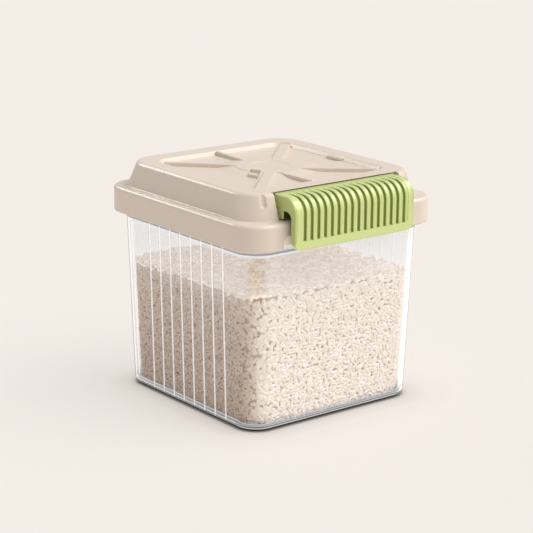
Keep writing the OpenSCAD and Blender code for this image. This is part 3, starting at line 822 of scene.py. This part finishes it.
def starPad():
    # the pad bulges out of the recess's right wall
    s = starShape
    wallX, turn = lidShape["recess"] / 2, s["padTurn"]
    out = wallX - s["padOut"] + turn
    first, last = s["padMiddle"] - s["padLong"] / 2, s["padMiddle"] + s["padLong"] / 2
    outline = [(wallX + 2 * mm, last), *arc((out, last - turn), turn, 90, 180, 6),
               *arc((out, first + turn), turn, 180, 270, 6), (wallX + 2 * mm, first)]
    pad = plate("pad", outline, recessZ - s["root"], domeTop - 0.35 * mm, "Z")
    softEdges(pad, 1.5 * mm, 5)
    return pad


def makeStar():
    # bars, spokes and hub in the recess of the lid's top, and the raised frame of its small window
    s = starShape
    window = [(x * mm, y * mm) for x, y in s["window"]]
    rim = plate("windowRim", window, recessZ - s["root"], domeTop - 0.75 * mm, "Z")
    softEdges(rim, 0.45 * mm, 3)
    return [starHub(), *[starRun(*run) for run in s["runs"]], rim, starPad()]


def starWindow():
    outline = shrunk([(x * mm, y * mm) for x, y in starShape["window"]], starShape["windowRim"])
    return plate("window", outline, recessZ + 0.2 * mm, domeTop + 1 * mm, "Z")


pocketShape = {
    "side": 65.6 * mm,         # half the pocket's width
    "deep": 4 * mm,
    "relief": 7 * mm,
    "ear": 36 * mm,            # from the middle to each ear
    "earThick": 4 * mm,
    "earRound": 3.2 * mm,
}


def latchPocket():
    # room in the dome's front for the latch's back leg
    s = pocketShape
    front = domeFront - 3 * mm
    outline = [(front, ledgeZ), (domeFront + s["deep"], ledgeZ), (wallAtPivot + s["deep"], pivotAt.z),
               (front, pivotAt.z)]
    return [plate("pocket", outline, -s["side"], s["side"]),
            barAlongX("relief", pivotAt.y, pivotAt.z, s["relief"], -s["side"], s["side"], 64)]


def pocketBack():
    # the wall behind that room, kept inside the dome
    s, wall = pocketShape, lidShape["wall"]
    front, low, skin = domeFront - 1 * mm, ledgeZ - 2 * mm, 0.8 * mm
    side, deep = s["side"] + wall, s["deep"] + wall
    dome = shell("domeSolid", [ring(domeSize, skin, low), *domeArc(skin, domeTop - skin)])
    back = plate("pocketBack", [(front, low), (domeFront + deep, low), (wallAtPivot + deep, pivotAt.z),
                                (front, pivotAt.z)], -side, side)
    bar = barAlongX("reliefBack", pivotAt.y, pivotAt.z, s["relief"] + wall, -side, side, 64)
    combine(back, [bar], "UNION")
    combine(back, [dome], "INTERSECT")
    return back


def latchEar(x):
    s = pocketShape
    y, z, r = pivotAt.y, pivotAt.z, s["earRound"]
    low = ledgeZ - 1 * mm
    outline = [(domeFront + s["deep"] + 1 * mm, low), (y - r, low), *arc((y, z), r, 180, -25, 14),
               (y + 4.4 * mm, z - 6.4 * mm)]
    ear = plate("ear", outline, x - s["earThick"] / 2, x + s["earThick"] / 2)
    softEdges(ear, 0.4 * mm)
    return ear


hingeShape = {
    "x": 56 * mm,              # from the middle to each hinge
    "knuckle": 12 * mm,
    "round": 4.6 * mm,
    "lug": 5 * mm,
    "gap": 0.5 * mm,
    "slotGap": 0.6 * mm,       # room round the lugs in the skirt
    "pin": 1.5 * mm,
    "boreHalf": 13 * mm,
}

hingesAt = [side * hingeShape["x"] for side in (-1, 1)]
lugMid = hingeShape["knuckle"] / 2 + hingeShape["gap"] + hingeShape["lug"] / 2
lugsAt = [x + edge * lugMid for x in hingesAt for edge in (-1, 1)]


def lidKnuckle(x):
    s = hingeShape
    y, z = hingeAt.y, hingeAt.z
    root = rimBack - 1 * mm
    outline = [(root, z + 0.6 * mm), *arc((y, z), s["round"], 190, 397, 16), (root, z + 13 * mm)]
    knuckle = plate("knuckle", outline, x - s["knuckle"] / 2, x + s["knuckle"] / 2)
    softEdges(knuckle, 0.5 * mm)
    return knuckle


def lugSlot(x):
    s = hingeShape
    low, high = x - s["lug"] / 2 - s["gap"], x + s["lug"] / 2 + s["gap"]
    return [barAlongX("slotRound", hingeAt.y, hingeAt.z, s["round"] + s["slotGap"], low, high),
            block("slotBox", (low, rimBack - lidShape["wall"] - 1 * mm, lidLow.z - 1 * mm),
                  (high, hingeAt.y, hingeAt.z + 2 * mm))]


skirtFront = {
    "half": 66.5 * mm,
    "high": 11 * mm,
    "deep": 1.5 * mm,
    "corner": 5 * mm,
    "flare": 3.6 * mm,         # round at the foot of the arch's sides, as high as the edge is raised
}


def skirtCuts():
    # a flat arch behind and beside the latch, and the raised stretch of the skirt's edge under it
    s = skirtFront
    front, foot = lidLow.y, lidLow.z
    low, top, turn = foot - 2 * mm, foot + s["high"] - s["corner"], s["corner"]
    half, flare = s["half"], s["flare"]
    rightFoot = [(half + flare, low), *arc((half + flare, foot + flare), flare, 270, 180, 8)]
    leftFoot = [*arc((-half - flare, foot + flare), flare, 0, -90, 8), (-half - flare, low)]
    over = [*arc((half - turn, top), turn, 0, 90, 8), *arc((-half + turn, top), turn, 90, 180, 8)]
    through = front + lidShape["wall"] + 0.35 * mm
    return [plate("arch", rightFoot + over + leftFoot, front - 3 * mm, front + s["deep"], "Y"),
            plate("raisedEdge", rightFoot + leftFoot, front - 1 * mm, through, "Y")]


dentShape = {
    "round": 3.5 * mm,
    "angle": 30,               # degrees round the dome's corner
    "below": 7.5 * mm,         # how far its middle lies under the dome's top
    "out": 1.5 * mm,
    "rise": (0, 3 * mm, 9 * mm),
}


def cornerDent(side):
    # finger dent on a front corner of the dome
    s = dentShape
    inset = lidShape["domeCorner"] + lidShape["domeLean"] * 0.6
    turn, out = math.radians(side * s["angle"]), lidShape["domeCorner"] + s["out"]
    centre = (side * (domeSize[0] / 2 - inset) + math.sin(turn) * out,
              domeFront + inset - math.cos(turn) * out, domeTop - s["below"])
    letGo()
    bpy.ops.mesh.primitive_uv_sphere_add(segments=32, ring_count=16, radius=s["round"], location=centre)
    dent = bpy.context.object
    settle(dent)
    bpy.ops.object.mode_set(mode="EDIT")
    pick("VERT", lambda at: at.z > centre[2] + 0.5 * mm)
    bpy.ops.transform.translate(value=s["rise"])
    finishMesh()
    return dent


def makeLid(finish):
    lid = shell("lidShell", lidRings())
    combine(lid, [pocketBack()], "UNION")
    combine(lid, [*latchPocket(), *skirtCuts(), cornerDent(-1), cornerDent(1)], "DIFFERENCE")
    combine(lid, [lidKnuckle(x) for x in hingesAt], "UNION")
    combine(lid, [tool for x in lugsAt for tool in lugSlot(x)], "DIFFERENCE")
    combine(lid, [latchEar(side * pocketShape["ear"]) for side in (-1, 1)] + makeStar(), "UNION")
    combine(lid, [starWindow()], "DIFFERENCE")
    smooth(lid)
    # painted light: the flat arch glows pale, in the place of light from the latch's pale inside
    archY, archTop, near = lidLow.y + skirtFront["deep"], lidLow.z + skirtFront["high"], 0.1 * mm
    mark(lid.data, "pocketGlow", "FACE",
         [abs(face.center.y - archY) < near and face.normal.y < -0.9 and face.center.z < archTop
          for face in lid.data.polygons])
    dress(lid, finish, "lid", "lid")


def makeSeal(finish):
    # a ring with rounded edges and a shallow groove under it, which sits on the bin's mouth
    low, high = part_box("lid_seal")
    mid = lidShape["sealMid"]
    half = high.x - mid[0] / 2
    turn, deep = 0.9 * mm, 0.5 * mm
    down, up = list(reversed(quarter(4))), quarter(4)
    rings = [ring(mid, -half + turn * c, low.z + turn * h) for c, h in down]
    rings += [ring(mid, -half + turn * c, high.z - turn * h) for c, h in up]
    rings += [ring(mid, half - turn * c, high.z - turn * h) for c, h in down]
    rings += [ring(mid, half - turn * c, low.z + turn * h) for c, h in up]
    rings += [ring(mid, turn, low.z), ring(mid, deep, low.z + deep), ring(mid, -deep, low.z + deep),
              ring(mid, -turn, low.z)]
    seal = shell("lidSeal", rings, closed=True)
    smooth(seal)
    dress(seal, finish, "lid", "lid_seal")


latchShape = {
    "thick": 6 * mm,
    "sink": 1.2 * mm,          # how far its top lies under the lid's
    "legReach": 7.36 * mm,     # from the pivot forward to the back leg's front
    "legBack": 3.6 * mm,       # from the dome's foot to the leg's back
    "legUp": 1.1 * mm,         # from the lid's ledge to the leg's foot
    "bend": 14 * mm,
    "corner": 7 * mm,
    "innerRound": 6 * mm,
    "grooves": 16,
    "pitch": 6.9 * mm,
    "groove": 2.6 * mm,
    "deep": 2.6 * mm,
    "lip": 0.9 * mm,           # how far the grooves' mouths flare
    "border": 7 * mm,
    "backStrip": 0.6 * mm,     # the grooves stop this far in front of the pivot
    "ribBelow": 0.45 * mm,     # ribs lie this much under the end frames
    "fieldPast": 3.2 * mm,     # and their field ends this far past the last groove
    "catchInset": 9 * mm,
    "catchHigh": 2 * mm,
    "catchReach": 2.4 * mm,
    "play": 0.4 * mm,          # room round the lid's ears
    "swing": 41,               # degrees that the ears' room is turned back
    "swingRoom": 7.6 * mm,
    "pinBore": 1.05 * mm,
    "pinEnds": 44.2 * mm,
    "endPaintedShade": 0.29,          # how much painted shade and painted light the flat ends get
    "endPaintedLight": 0.12,
}

latchFace, latchFoot, latchHalf = latchLow.y, latchLow.z, latchHigh.x
latchFlat = domeTop - latchShape["sink"]
latchBack = latchFace + latchShape["thick"]
bendAt = (latchFace + latchShape["bend"], latchFlat - latchShape["bend"])
latchInner = (latchBack + latchShape["innerRound"],
              latchFlat - 2 * latchShape["thick"] - latchShape["innerRound"])
legFoot = ledgeZ + latchShape["legUp"]
stripAt = pivotAt.y - latchShape["backStrip"]


def sweepRound(name, section, low, high, back, steps):
    # a flat section at height low, run up, round the latch's bend and back over the top
    piece = flatOutline(name, [(x, y, low) for x, y in section])
    bpy.ops.mesh.extrude_region_move(TRANSFORM_OT_translate={"value": (0, 0, high - low)})
    bpy.ops.mesh.spin(steps=steps, angle=math.pi / 2, center=(0, *bendAt), axis=(1, 0, 0))
    bpy.ops.mesh.extrude_region_move(TRANSFORM_OT_translate={"value": (0, back - bendAt[0], 0)})
    finishMesh()
    return piece


def grooveSection():
    # trench with a round bottom; its mouth flares, which rounds the ribs on both sides
    s = latchShape
    half, lip, turn = s["groove"] / 2, s["lip"], 0.8 * mm
    ribs, bottom = latchFace + s["ribBelow"], latchFace + s["deep"]
    left = [(-half - lip - 0.3 * mm, latchFace - 1 * mm), (-half - lip, ribs - 0.05 * mm),
            (-half - lip * 0.55, ribs + 0.12 * mm), (-half - lip * 0.2, ribs + 0.42 * mm),
            (-half, ribs + lip), (-half, bottom - turn)]
    left += [(-half + turn * c, bottom - turn * h) for c, h in quarter(4)][1:]
    return left + [(-x, y) for x, y in reversed(left)]


def latchBody():
    # bent like a gutter, with the leg that reaches down behind; its top skin ends in a small tip
    s = latchShape
    y, z = pivotAt.y, pivotAt.z
    inner, legFront = s["innerRound"], y - s["legReach"]
    tip = [(1.2, latchFlat), (3, latchFlat + 0.25 * mm), (4.2, z + 5 * mm), (3.4, z - 1 * mm),
           (-0.3, z - 7 * mm)]
    outline = [(latchFace, latchFoot), *arc(bendAt, s["bend"], 180, 90, 18),
               *[(y + past * mm, height) for past, height in tip], (domeFront + s["legBack"], legFoot),
               (legFront, legFoot), (legFront, latchInner[1] + inner), *arc(latchInner, inner, 90, 180, 10),
               (latchBack, latchFoot)]
    latch = plate("latchCover", outline, -latchHalf, latchHalf)
    bpy.ops.object.mode_set(mode="EDIT")
    pick("EDGE", lambda at, along: abs(at.z - latchFoot) < 0.1 * mm and abs(along.y) > 3 * mm
         and abs(abs(at.x) - latchHalf) < 0.1 * mm)
    bpy.ops.mesh.bevel(offset=s["corner"], segments=8, affect="EDGES", clamp_overlap=False)
    finishMesh()
    softEdges(latch, 0.8 * mm, 4, 28)
    return latch


def latchGrooves():
    # the ribs' field, a little under the frame round it, and the grooves in it
    s = latchShape
    foot, ribs = latchFoot + s["border"], latchFace + s["ribBelow"]
    last = (s["grooves"] - 1) / 2 * s["pitch"]
    wide = last + s["groove"] / 2 + s["fieldPast"]
    section = [(-wide, latchFace - 1 * mm), (wide, latchFace - 1 * mm), (wide - 0.4 * mm, ribs),
               (-wide + 0.4 * mm, ribs)]
    # steps and ends differ from the grooves', so that no faces coincide
    field = sweepRound("field", section, foot + 1 * mm, bendAt[1] - 0.3 * mm, stripAt + 0.4 * mm, 18)
    groove = sweepRound("groove", grooveSection(), foot, bendAt[1], stripAt, 13)
    bpy.ops.object.mode_set(mode="EDIT")
    # slanted ends: the trench runs out towards the border and towards the back strip
    pick("VERT", lambda at: at.z < foot + 0.1 * mm and at.y > latchFace + 1.5 * mm)
    bpy.ops.transform.translate(value=(0, 0, 1.6 * mm))
    pick("VERT", lambda at: at.y > stripAt - 0.1 * mm and at.z < latchFlat - 1.2 * mm)
    bpy.ops.transform.translate(value=(0, -4.6 * mm, 0))
    finishMesh()
    grooves = [copyOf(groove, (i * s["pitch"] - last, 0, 0)) for i in range(s["grooves"])]
    bpy.data.objects.remove(groove)
    return [field, *grooves]


def latchCatch():
    # the rail that snaps under the flange
    s = latchShape
    top, root = latchFoot + s["catchHigh"], latchBack - 1 * mm
    tip = -binFlange[1] / 2 + s["catchReach"]
    end = latchHalf - s["catchInset"]
    rail = plate("catch", [(root, latchFoot), (tip - 2 * mm, latchFoot), (tip, top - 1.2 * mm), (tip, top),
                           (root, top)], -end, end)
    softEdges(rail, 0.3 * mm)
    return rail


def earRooms():
    # room for the lid's ears at any angle, for the pins, and the window they are slid in by
    s, ear = latchShape, pocketShape
    y, z = pivotAt.y, pivotAt.z
    reach, room = ear["earRound"] + s["play"], s["swingRoom"]
    turned = math.radians(s["swing"])
    swing = [(y + a * math.cos(turned) - b * math.sin(turned),
              z + a * math.sin(turned) + b * math.cos(turned))
             for a, b in ((0, -room), (room, -room), (room, 0), (0, 0))]
    tools = []
    for side in (-1, 1):
        low, high = [side * ear["ear"] + edge * (ear["earThick"] / 2 + s["play"]) for edge in (-1, 1)]
        tools += [barAlongX("earRoom", y, z, reach, low, high),
                  block("earFoot", (low, y - reach, legFoot - 1 * mm),
                        (high, y - reach + 3 * ear["earRound"], z)),
                  plate("earSwing", swing, low, high)]
    return tools + [barAlongX("pinBore", y, z, s["pinBore"], -s["pinEnds"], s["pinEnds"], 24),
                    block("pinWindow", (-10 * mm, y - 1.4 * mm, z - 3 * mm),
                          (10 * mm, y + 7.2 * mm, z + 1.5 * mm))]


def grooveDepth(at):
    # how deep a point lies in a groove, for the painted shade there (darker green); the flat ends get a fixed
    # painted shade
    s = latchShape
    if abs(at.x) > latchHalf - 0.9 * mm:
        return s["endPaintedShade"]
    if at.z < bendAt[1]:
        depth = at.y - latchFace
    elif at.y > bendAt[0]:
        depth = latchFlat - at.z
    else:
        depth = s["bend"] - math.hypot(at.y - bendAt[0], at.z - bendAt[1])
    # past the grooves' bottom is the inside, with no painted shade, as light as the outside
    return depth / s["deep"] if -0.1 * mm < depth < s["deep"] + 0.1 * mm else 0


def edgeGlow(face, depths):
    # painted highlight: faces along the rounded edges glow, and the latch's flat ends glow a little as
    # painted light
    across = abs(face.normal.x)
    low = max(depths[i] for i in face.vertices)
    rounded = 2 * across * math.sqrt(max(1 - across ** 2, 0)) * max(1 - 1.6 * low, 0)
    return max(rounded, latchShape["endPaintedLight"] if abs(face.center.x) > latchHalf - 0.05 * mm else 0)


def makeLatch(finish):
    latch = latchBody()
    combine(latch, latchGrooves(), "DIFFERENCE")
    combine(latch, [latchCatch()], "UNION")
    combine(latch, earRooms(), "DIFFERENCE")
    smooth(latch, 38)
    depths = [grooveDepth(point.co) for point in latch.data.vertices]
    mark(latch.data, "grooveDepth", "POINT", depths)
    mark(latch.data, "edgeGlow", "FACE", [edgeGlow(face, depths) for face in latch.data.polygons])
    dress(latch, finish, "latch", "latch")


def wallOut(z):
    return binShape["flare"] * z / mouthZ


def binRings():
    s = binShape
    foot, wall, turn = s["foot"], s["wall"], s["footRound"]

    def wallRing(z, shrink, extra=0):
        return ring(foot, shrink - wallOut(z) + extra, z, shrink + extra)

    levels = [30 * mm, 80 * mm, 130 * mm]
    turnIn = turn - wall / 2
    inner = [wallRing(s["floor"] + turnIn * h, wall, turnIn * c) for c, h in reversed(quarter(6))]
    inner += [wallRing(z, wall) for z in levels]
    mouth = [wallRing(mouthZ - 0.6 * mm, wall), wallRing(mouthZ - 0.15 * mm, wall, -0.2 * mm),
             wallRing(mouthZ, wall, -0.7 * mm), wallRing(mouthZ, 0, 0.7 * mm),
             wallRing(mouthZ - 0.15 * mm, 0, 0.2 * mm), wallRing(mouthZ - 0.6 * mm, 0)]
    low, high, soft = s["flangeZ"], s["flangeZ"] + s["flangeThick"], 0.5 * mm
    flange = [wallRing(high + soft, 0), wallRing(high, 0, -soft),
              *[ring(binFlange, soft * c, high - soft * h) for c, h in reversed(quarter(3))],
              *[ring(binFlange, soft * c, low + soft * h) for c, h in quarter(3)],
              wallRing(low, 0, -soft), wallRing(low - soft, 0)]
    outer = [wallRing(z, 0) for z in reversed(levels)]
    outer += [wallRing(s["step"] + turn * h, 0, turn * c) for c, h in quarter(8)]
    stepIn, stepSoft = s["stepIn"], 0.4 * mm
    step = (foot[0] - 2 * stepIn, foot[1] - 2 * stepIn, foot[2] - stepIn / 2)
    outer += [ring(step, 0, s["step"]), *[ring(step, stepSoft * c, stepSoft * h) for c, h in quarter(3)]]
    return inner + mouth + flange + outer


def makeFlute():
    # one upright flute: a round bar against the leaning wall, closed by round ends
    s = binShape
    low, high = s["footRound"], s["flangeZ"] - s["fluteStop"]
    letGo()
    bpy.ops.mesh.primitive_uv_sphere_add(segments=16, ring_count=10, radius=s["fluteRound"],
                                         location=(0, 0, 0))
    flute = bpy.context.object
    bpy.ops.object.mode_set(mode="EDIT")
    pick("VERT", lambda at: at.z > 0.01 * mm)
    bpy.ops.transform.translate(value=(wallOut(high) - wallOut(low), 0, high - low))
    finishMesh()
    flute.location = (s["foot"][0] / 2 + wallOut(low), 0, low)
    settle(flute)
    return flute


def binLug(x):
    s, h = binShape, hingeShape
    y, z, r = hingeAt.y, hingeAt.z, h["round"]
    low, top = s["flangeZ"] - 16 * mm, lidLow.z - 0.6 * mm
    back = s["foot"][1] / 2 + wallOut(low) - s["wall"] / 2
    outline = [(back, low), (back + 4 * mm, low), *arc((y, z), r, -40, 205, 16), (y - r, top), (back, top)]
    lug = plate("lug", outline, x - h["lug"] / 2, x + h["lug"] / 2)
    softEdges(lug, 0.4 * mm)
    return lug


def makeBin(finish, ridgeFinish):
    s, h = binShape, hingeShape
    tub = shell("clearBin", binRings())
    combine(tub, [binLug(x) for x in lugsAt], "UNION")
    combine(tub, [barAlongX("bore", hingeAt.y, hingeAt.z, h["pin"] + 0.02 * mm, x - h["boreHalf"],
                            x + h["boreHalf"], 24) for x in hingesAt], "DIFFERENCE")
    smooth(tub, 40)
    dress(tub, finish, "bin", "bin_body")
    flute = makeFlute()
    rows = [(i - (s["flutes"] - 1) / 2) * s["flutePitch"] - s["fluteShift"] for i in range(s["flutes"])]
    ridges = join([copyOf(flute, (0, y, 0), side < 0) for side in (-1, 1) for y in rows], "binFlutes")
    bpy.data.objects.remove(flute)
    smooth(ridges, 60)
    dress(ridges, ridgeFinish, "bin", "bin_body")


riceShape = {
    "level": 110 * mm,         # height at the walls
    "half": (84 * mm, 87 * mm),
    "mound": 1.5 * mm,
    "slopeX": 1.5 * mm,
    "slopeY": 1.8 * mm,
    "long": 6 * mm,            # size of a grain
    "across": 3.1 * mm,
    "thick": 2.6 * mm,
    "sizes": (0.86, 1.12),     # smallest and largest, as a share of that
    "spacing": 2.75 * mm,
    "topSpacing": 3.05 * mm,
    "lean": 0.14,              # how steeply grains lie out of the surface, in radians
    "topLean": 0.35,
    "clear": 0.6 * mm,         # gap to the wall
    "corner": 5 * mm,          # how much rounder the rice is than the bin
    "lensAt": (-78 * mm, -82 * mm),             # the bin's corner that magnifies the grains behind it
    "lensReach": 15 * mm,
    "lensGrowth": (0.36, 0.36, 0.04),           # across, thick and long
    "lensThinning": 0.3,       # share of the grains that make room for the larger ones
    "coreDeep": 3.2 * mm,
    "seed": 7,
}


def riceHeight(x, y):
    # the gently uneven top of the rice, highest at the front left
    s = riceShape
    acrossX, acrossY = x / s["half"][0], y / s["half"][1]
    lift = (1 - acrossX ** 2) * (1 - acrossY ** 2)
    slope = -s["slopeX"] * acrossX - s["slopeY"] * acrossY
    waves = 0.7 * np.sin(x * 62 + 1.3) * np.cos(y * 48 - 0.4) + 0.6 * np.sin(x * 131 - y * 97 + 2.1)
    return s["level"] + s["mound"] * lift + slope + waves * mm


def inLens(x, y):
    # 1 in the corner that magnifies, fading to 0 away from it
    atX, atY = riceShape["lensAt"]
    return np.exp(-((x - atX) ** 2 + (y - atY) ** 2) / riceShape["lensReach"] ** 2)


def grainMesh():
    # one grain, modelled once: a long low ball, slimmer at its tip
    s = riceShape
    letGo()
    bpy.ops.mesh.primitive_uv_sphere_add(segments=6, ring_count=5, radius=0.5)
    grain = bpy.context.object
    bpy.ops.object.mode_set(mode="EDIT")
    bpy.ops.mesh.select_all(action="SELECT")
    bpy.ops.transform.resize(value=(s["across"], s["thick"], s["long"]), center_override=(0, 0, 0))
    pick("VERT", lambda at: 0.1 * s["long"] < at.z < 0.45 * s["long"])
    bpy.ops.transform.resize(value=(0.86, 0.86, 1), center_override=(0, 0, 0.25 * s["long"]))
    finishMesh()
    points = np.array([point.co for point in grain.data.vertices])
    faces = [list(face.vertices) for face in grain.data.polygons]
    bpy.data.objects.remove(grain)
    return points, faces


def scatter(name, grain, places, normals, tilt, finish, random):
    # lays copies of the grain at the places, roughly flat against the surface there
    s = riceShape
    points, faces = grain
    count = len(places)
    turn = random.uniform(0, 2 * math.pi, count)
    lean = random.normal(0, tilt, count)
    size = random.uniform(*s["sizes"], (count, 3))
    size *= 1 + inLens(places[:, 0], places[:, 1])[:, None] * np.array([s["lensGrowth"]])
    helper = np.where(np.abs(normals[:, 2:3]) > 0.9, [[1.0, 0, 0]], [[0, 0, 1.0]])
    first = np.cross(normals, helper)
    first /= np.linalg.norm(first, axis=1)[:, None]
    second = np.cross(normals, first)
    flat = first * np.cos(turn)[:, None] + second * np.sin(turn)[:, None]
    along = flat * np.cos(lean)[:, None] + normals * np.sin(lean)[:, None]
    across = np.cross(normals, flat)
    out = np.cross(along, across)
    sized = points[None] * size[:, None, :]
    laid = places[:, None] + sum(sized[..., i:i + 1] * way[:, None]
                                 for i, way in enumerate((across, out, along)))
    shift = np.arange(count)[:, None, None] * len(points)
    allFaces = []
    for corners in (3, 4):
        group = np.array([face for face in faces if len(face) == corners])
        allFaces += (group[None] + shift).reshape(-1, corners).tolist()
    mesh = bpy.data.meshes.new(name)
    mesh.from_pydata(laid.reshape(-1, 3).tolist(), [], allFaces)
    # painted shade: the side turned from the light is painted darker, most of all low down
    turned = np.clip((-normals[:, 0] - 0.55) / 0.42, 0, 1) * (1 - 0.45 * places[:, 2] / s["level"])
    mark(mesh, "grainTone", "POINT", np.repeat(random.uniform(0, 1, count), len(points)))
    mark(mesh, "grainShade", "POINT", np.repeat(turned, len(points)))
    mesh.update()
    piece = bpy.data.objects.new(name, mesh)
    bpy.context.scene.collection.objects.link(piece)
    hold(piece)
    bpy.ops.object.shade_smooth()
    dress(piece, finish, "bin", "rice")


def roundWalls(around, runX, runY, wide, deep, corner):
    # the place and direction after walking so far round a rounded rectangle, from the front's left end
    bend = corner * math.pi / 2
    quarterTurn = 0
    for run in (runX, runY, runX, runY):
        if around < run + bend:
            break
        around -= run + bend
        quarterTurn += 1
    run, half = (runY, wide / 2) if quarterTurn % 2 else (runX, deep / 2)
    angle = -math.pi / 2
    if around < run:
        x, y = around - run / 2, -half
    else:
        angle += (around - run) / corner
        x, y = run / 2 + corner * math.cos(angle), -half + corner + corner * math.sin(angle)
    spun = quarterTurn * math.pi / 2
    return (x * math.cos(spun) - y * math.sin(spun), x * math.sin(spun) + y * math.cos(spun)), angle + spun


def wallGrains(random):
    # grains against the bin's walls, level by level
    s, b = riceShape, binShape
    shrink, halfGrain = b["wall"] + s["clear"], s["across"] / 2 + 0.2 * mm
    corner = b["foot"][2] - shrink + s["corner"] - halfGrain
    places, normals = [], []
    for z in np.arange(b["floor"] + s["clear"] + 1.2 * mm, s["level"], s["spacing"]):
        aboveRound = max(0.0, b["footRound"] - (z - b["floor"]))
        inward = shrink + halfGrain - wallOut(z) + 0.35 * aboveRound
        wide, deep = b["foot"][0] - 2 * inward, b["foot"][1] - 2 * inward
        runX, runY = wide - 2 * corner, deep - 2 * corner
        around = 2 * (runX + runY) + 2 * math.pi * corner
        steps = int(around / s["spacing"])
        for step in (np.arange(steps) + random.uniform(-0.35, 0.35, steps)) * around / steps:
            (x, y), angle = roundWalls(step % around, runX, runY, wide, deep, corner)
            height = z + random.uniform(-0.9, 0.9) * mm
            if height > riceHeight(x, y) + 1.1 * mm or random.uniform() < s["lensThinning"] * inLens(x, y):
                continue
            back = random.uniform(0, 0.9) * mm
            normal = (math.cos(angle), math.sin(angle), 0)
            places.append((x - normal[0] * back, y - normal[1] * back, height))
            normals.append(normal)
    return np.array(places), np.array(normals)


def topGrains(random):
    # grains lying on the top, out to the rounded corners
    s, b = riceShape, binShape
    inward = b["wall"] + s["clear"]
    edgeX, edgeY = [side / 2 - inward + wallOut(s["level"]) - 1.4 * mm for side in b["foot"][:2]]
    x, y = np.meshgrid(np.arange(-edgeX, edgeX, s["topSpacing"]), np.arange(-edgeY, edgeY, s["topSpacing"]))
    x = x.ravel() + random.uniform(-0.9, 0.9, x.size) * mm
    y = y.ravel() + random.uniform(-0.9, 0.9, y.size) * mm
    corner = b["foot"][2] - inward - 2 * mm + s["corner"]
    past = np.hypot(np.maximum(np.abs(x) - edgeX + corner, 0), np.maximum(np.abs(y) - edgeY + corner, 0))
    x, y = x[past < corner], y[past < corner]
    return np.stack([x, y, riceHeight(x, y) - 0.7 * mm + random.uniform(-1.1, 0.9, x.size) * mm], axis=1)


def riceCore():
    # the mass of rice behind the outer grains
    s, b = riceShape, binShape
    deepIn = b["wall"] + s["clear"] + s["coreDeep"]
    topZ = s["level"] - 7.5 * mm
    rings = [ring(b["foot"], deepIn - wallOut(z), z, deepIn - s["corner"])
             for z in (b["floor"] + s["clear"] + 1 * mm, 40 * mm, 80 * mm, s["level"] - 11 * mm)]
    rings += [ring(b["foot"], deepIn + 4 * mm - wallOut(topZ), topZ, deepIn + 2 * mm),
              ring(b["foot"], 45 * mm, topZ + 1.6 * mm, deepIn)]
    return shell("riceCore", rings)


def makeRice(finish, topFinish, deepFinish):
    s = riceShape
    random = np.random.default_rng(s["seed"])
    grain = grainMesh()
    places, normals = wallGrains(random)
    # each grain goes with the wall that its normal faces most
    facesX = np.abs(normals[:, 0]) > np.abs(normals[:, 1])
    for name, axis, sign in (("riceLeft", 0, -1), ("riceRight", 0, 1), ("riceFront", 1, -1),
                             ("riceBack", 1, 1)):
        chosen = (facesX == (axis == 0)) & (np.sign(normals[:, axis]) == sign)
        scatter(name, grain, places[chosen], normals[chosen], s["lean"], finish, random)
    top = topGrains(random)
    upright = np.tile([0.0, 0, 1], (len(top), 1))
    for name, chosen in (("riceTopFront", top[:, 1] < 0), ("riceTopBack", top[:, 1] >= 0)):
        scatter(name, grain, top[chosen], upright[chosen], s["topLean"], topFinish, random)
    core = riceCore()
    smooth(core)
    dress(core, deepFinish, "bin", "rice")


makeCamera()
makeStage()
print("camera, floor and lights are in place")

makeLid(beigePlastic())
makeSeal(silicone())
print("lid and seal are made")

makeLatch(greenPlastic())
print("latch is made")

makeBin(clearPlastic("clearPlastic", clearSet), clearPlastic("clearRidge", ridgeSet))
print("clear bin is made")

makeRice(riceGrain("riceGrain", "lit", 0.15), riceGrain("riceTop", "top", 0.34), riceDeep())
print("rice is poured")

pinSteel = steel()
for name in ("latch_pin_left", "latch_pin_right", "hinge_pin_left", "hinge_pin_right"):
    node = frame["nodes"][name]
    if not node.material_slots:
        node.data.materials.append(pinSteel.material)
    for place in node.material_slots:
        place.material = pinSteel.material
print("pins have their finish")

letGo()
bpy.context.view_layer.update()
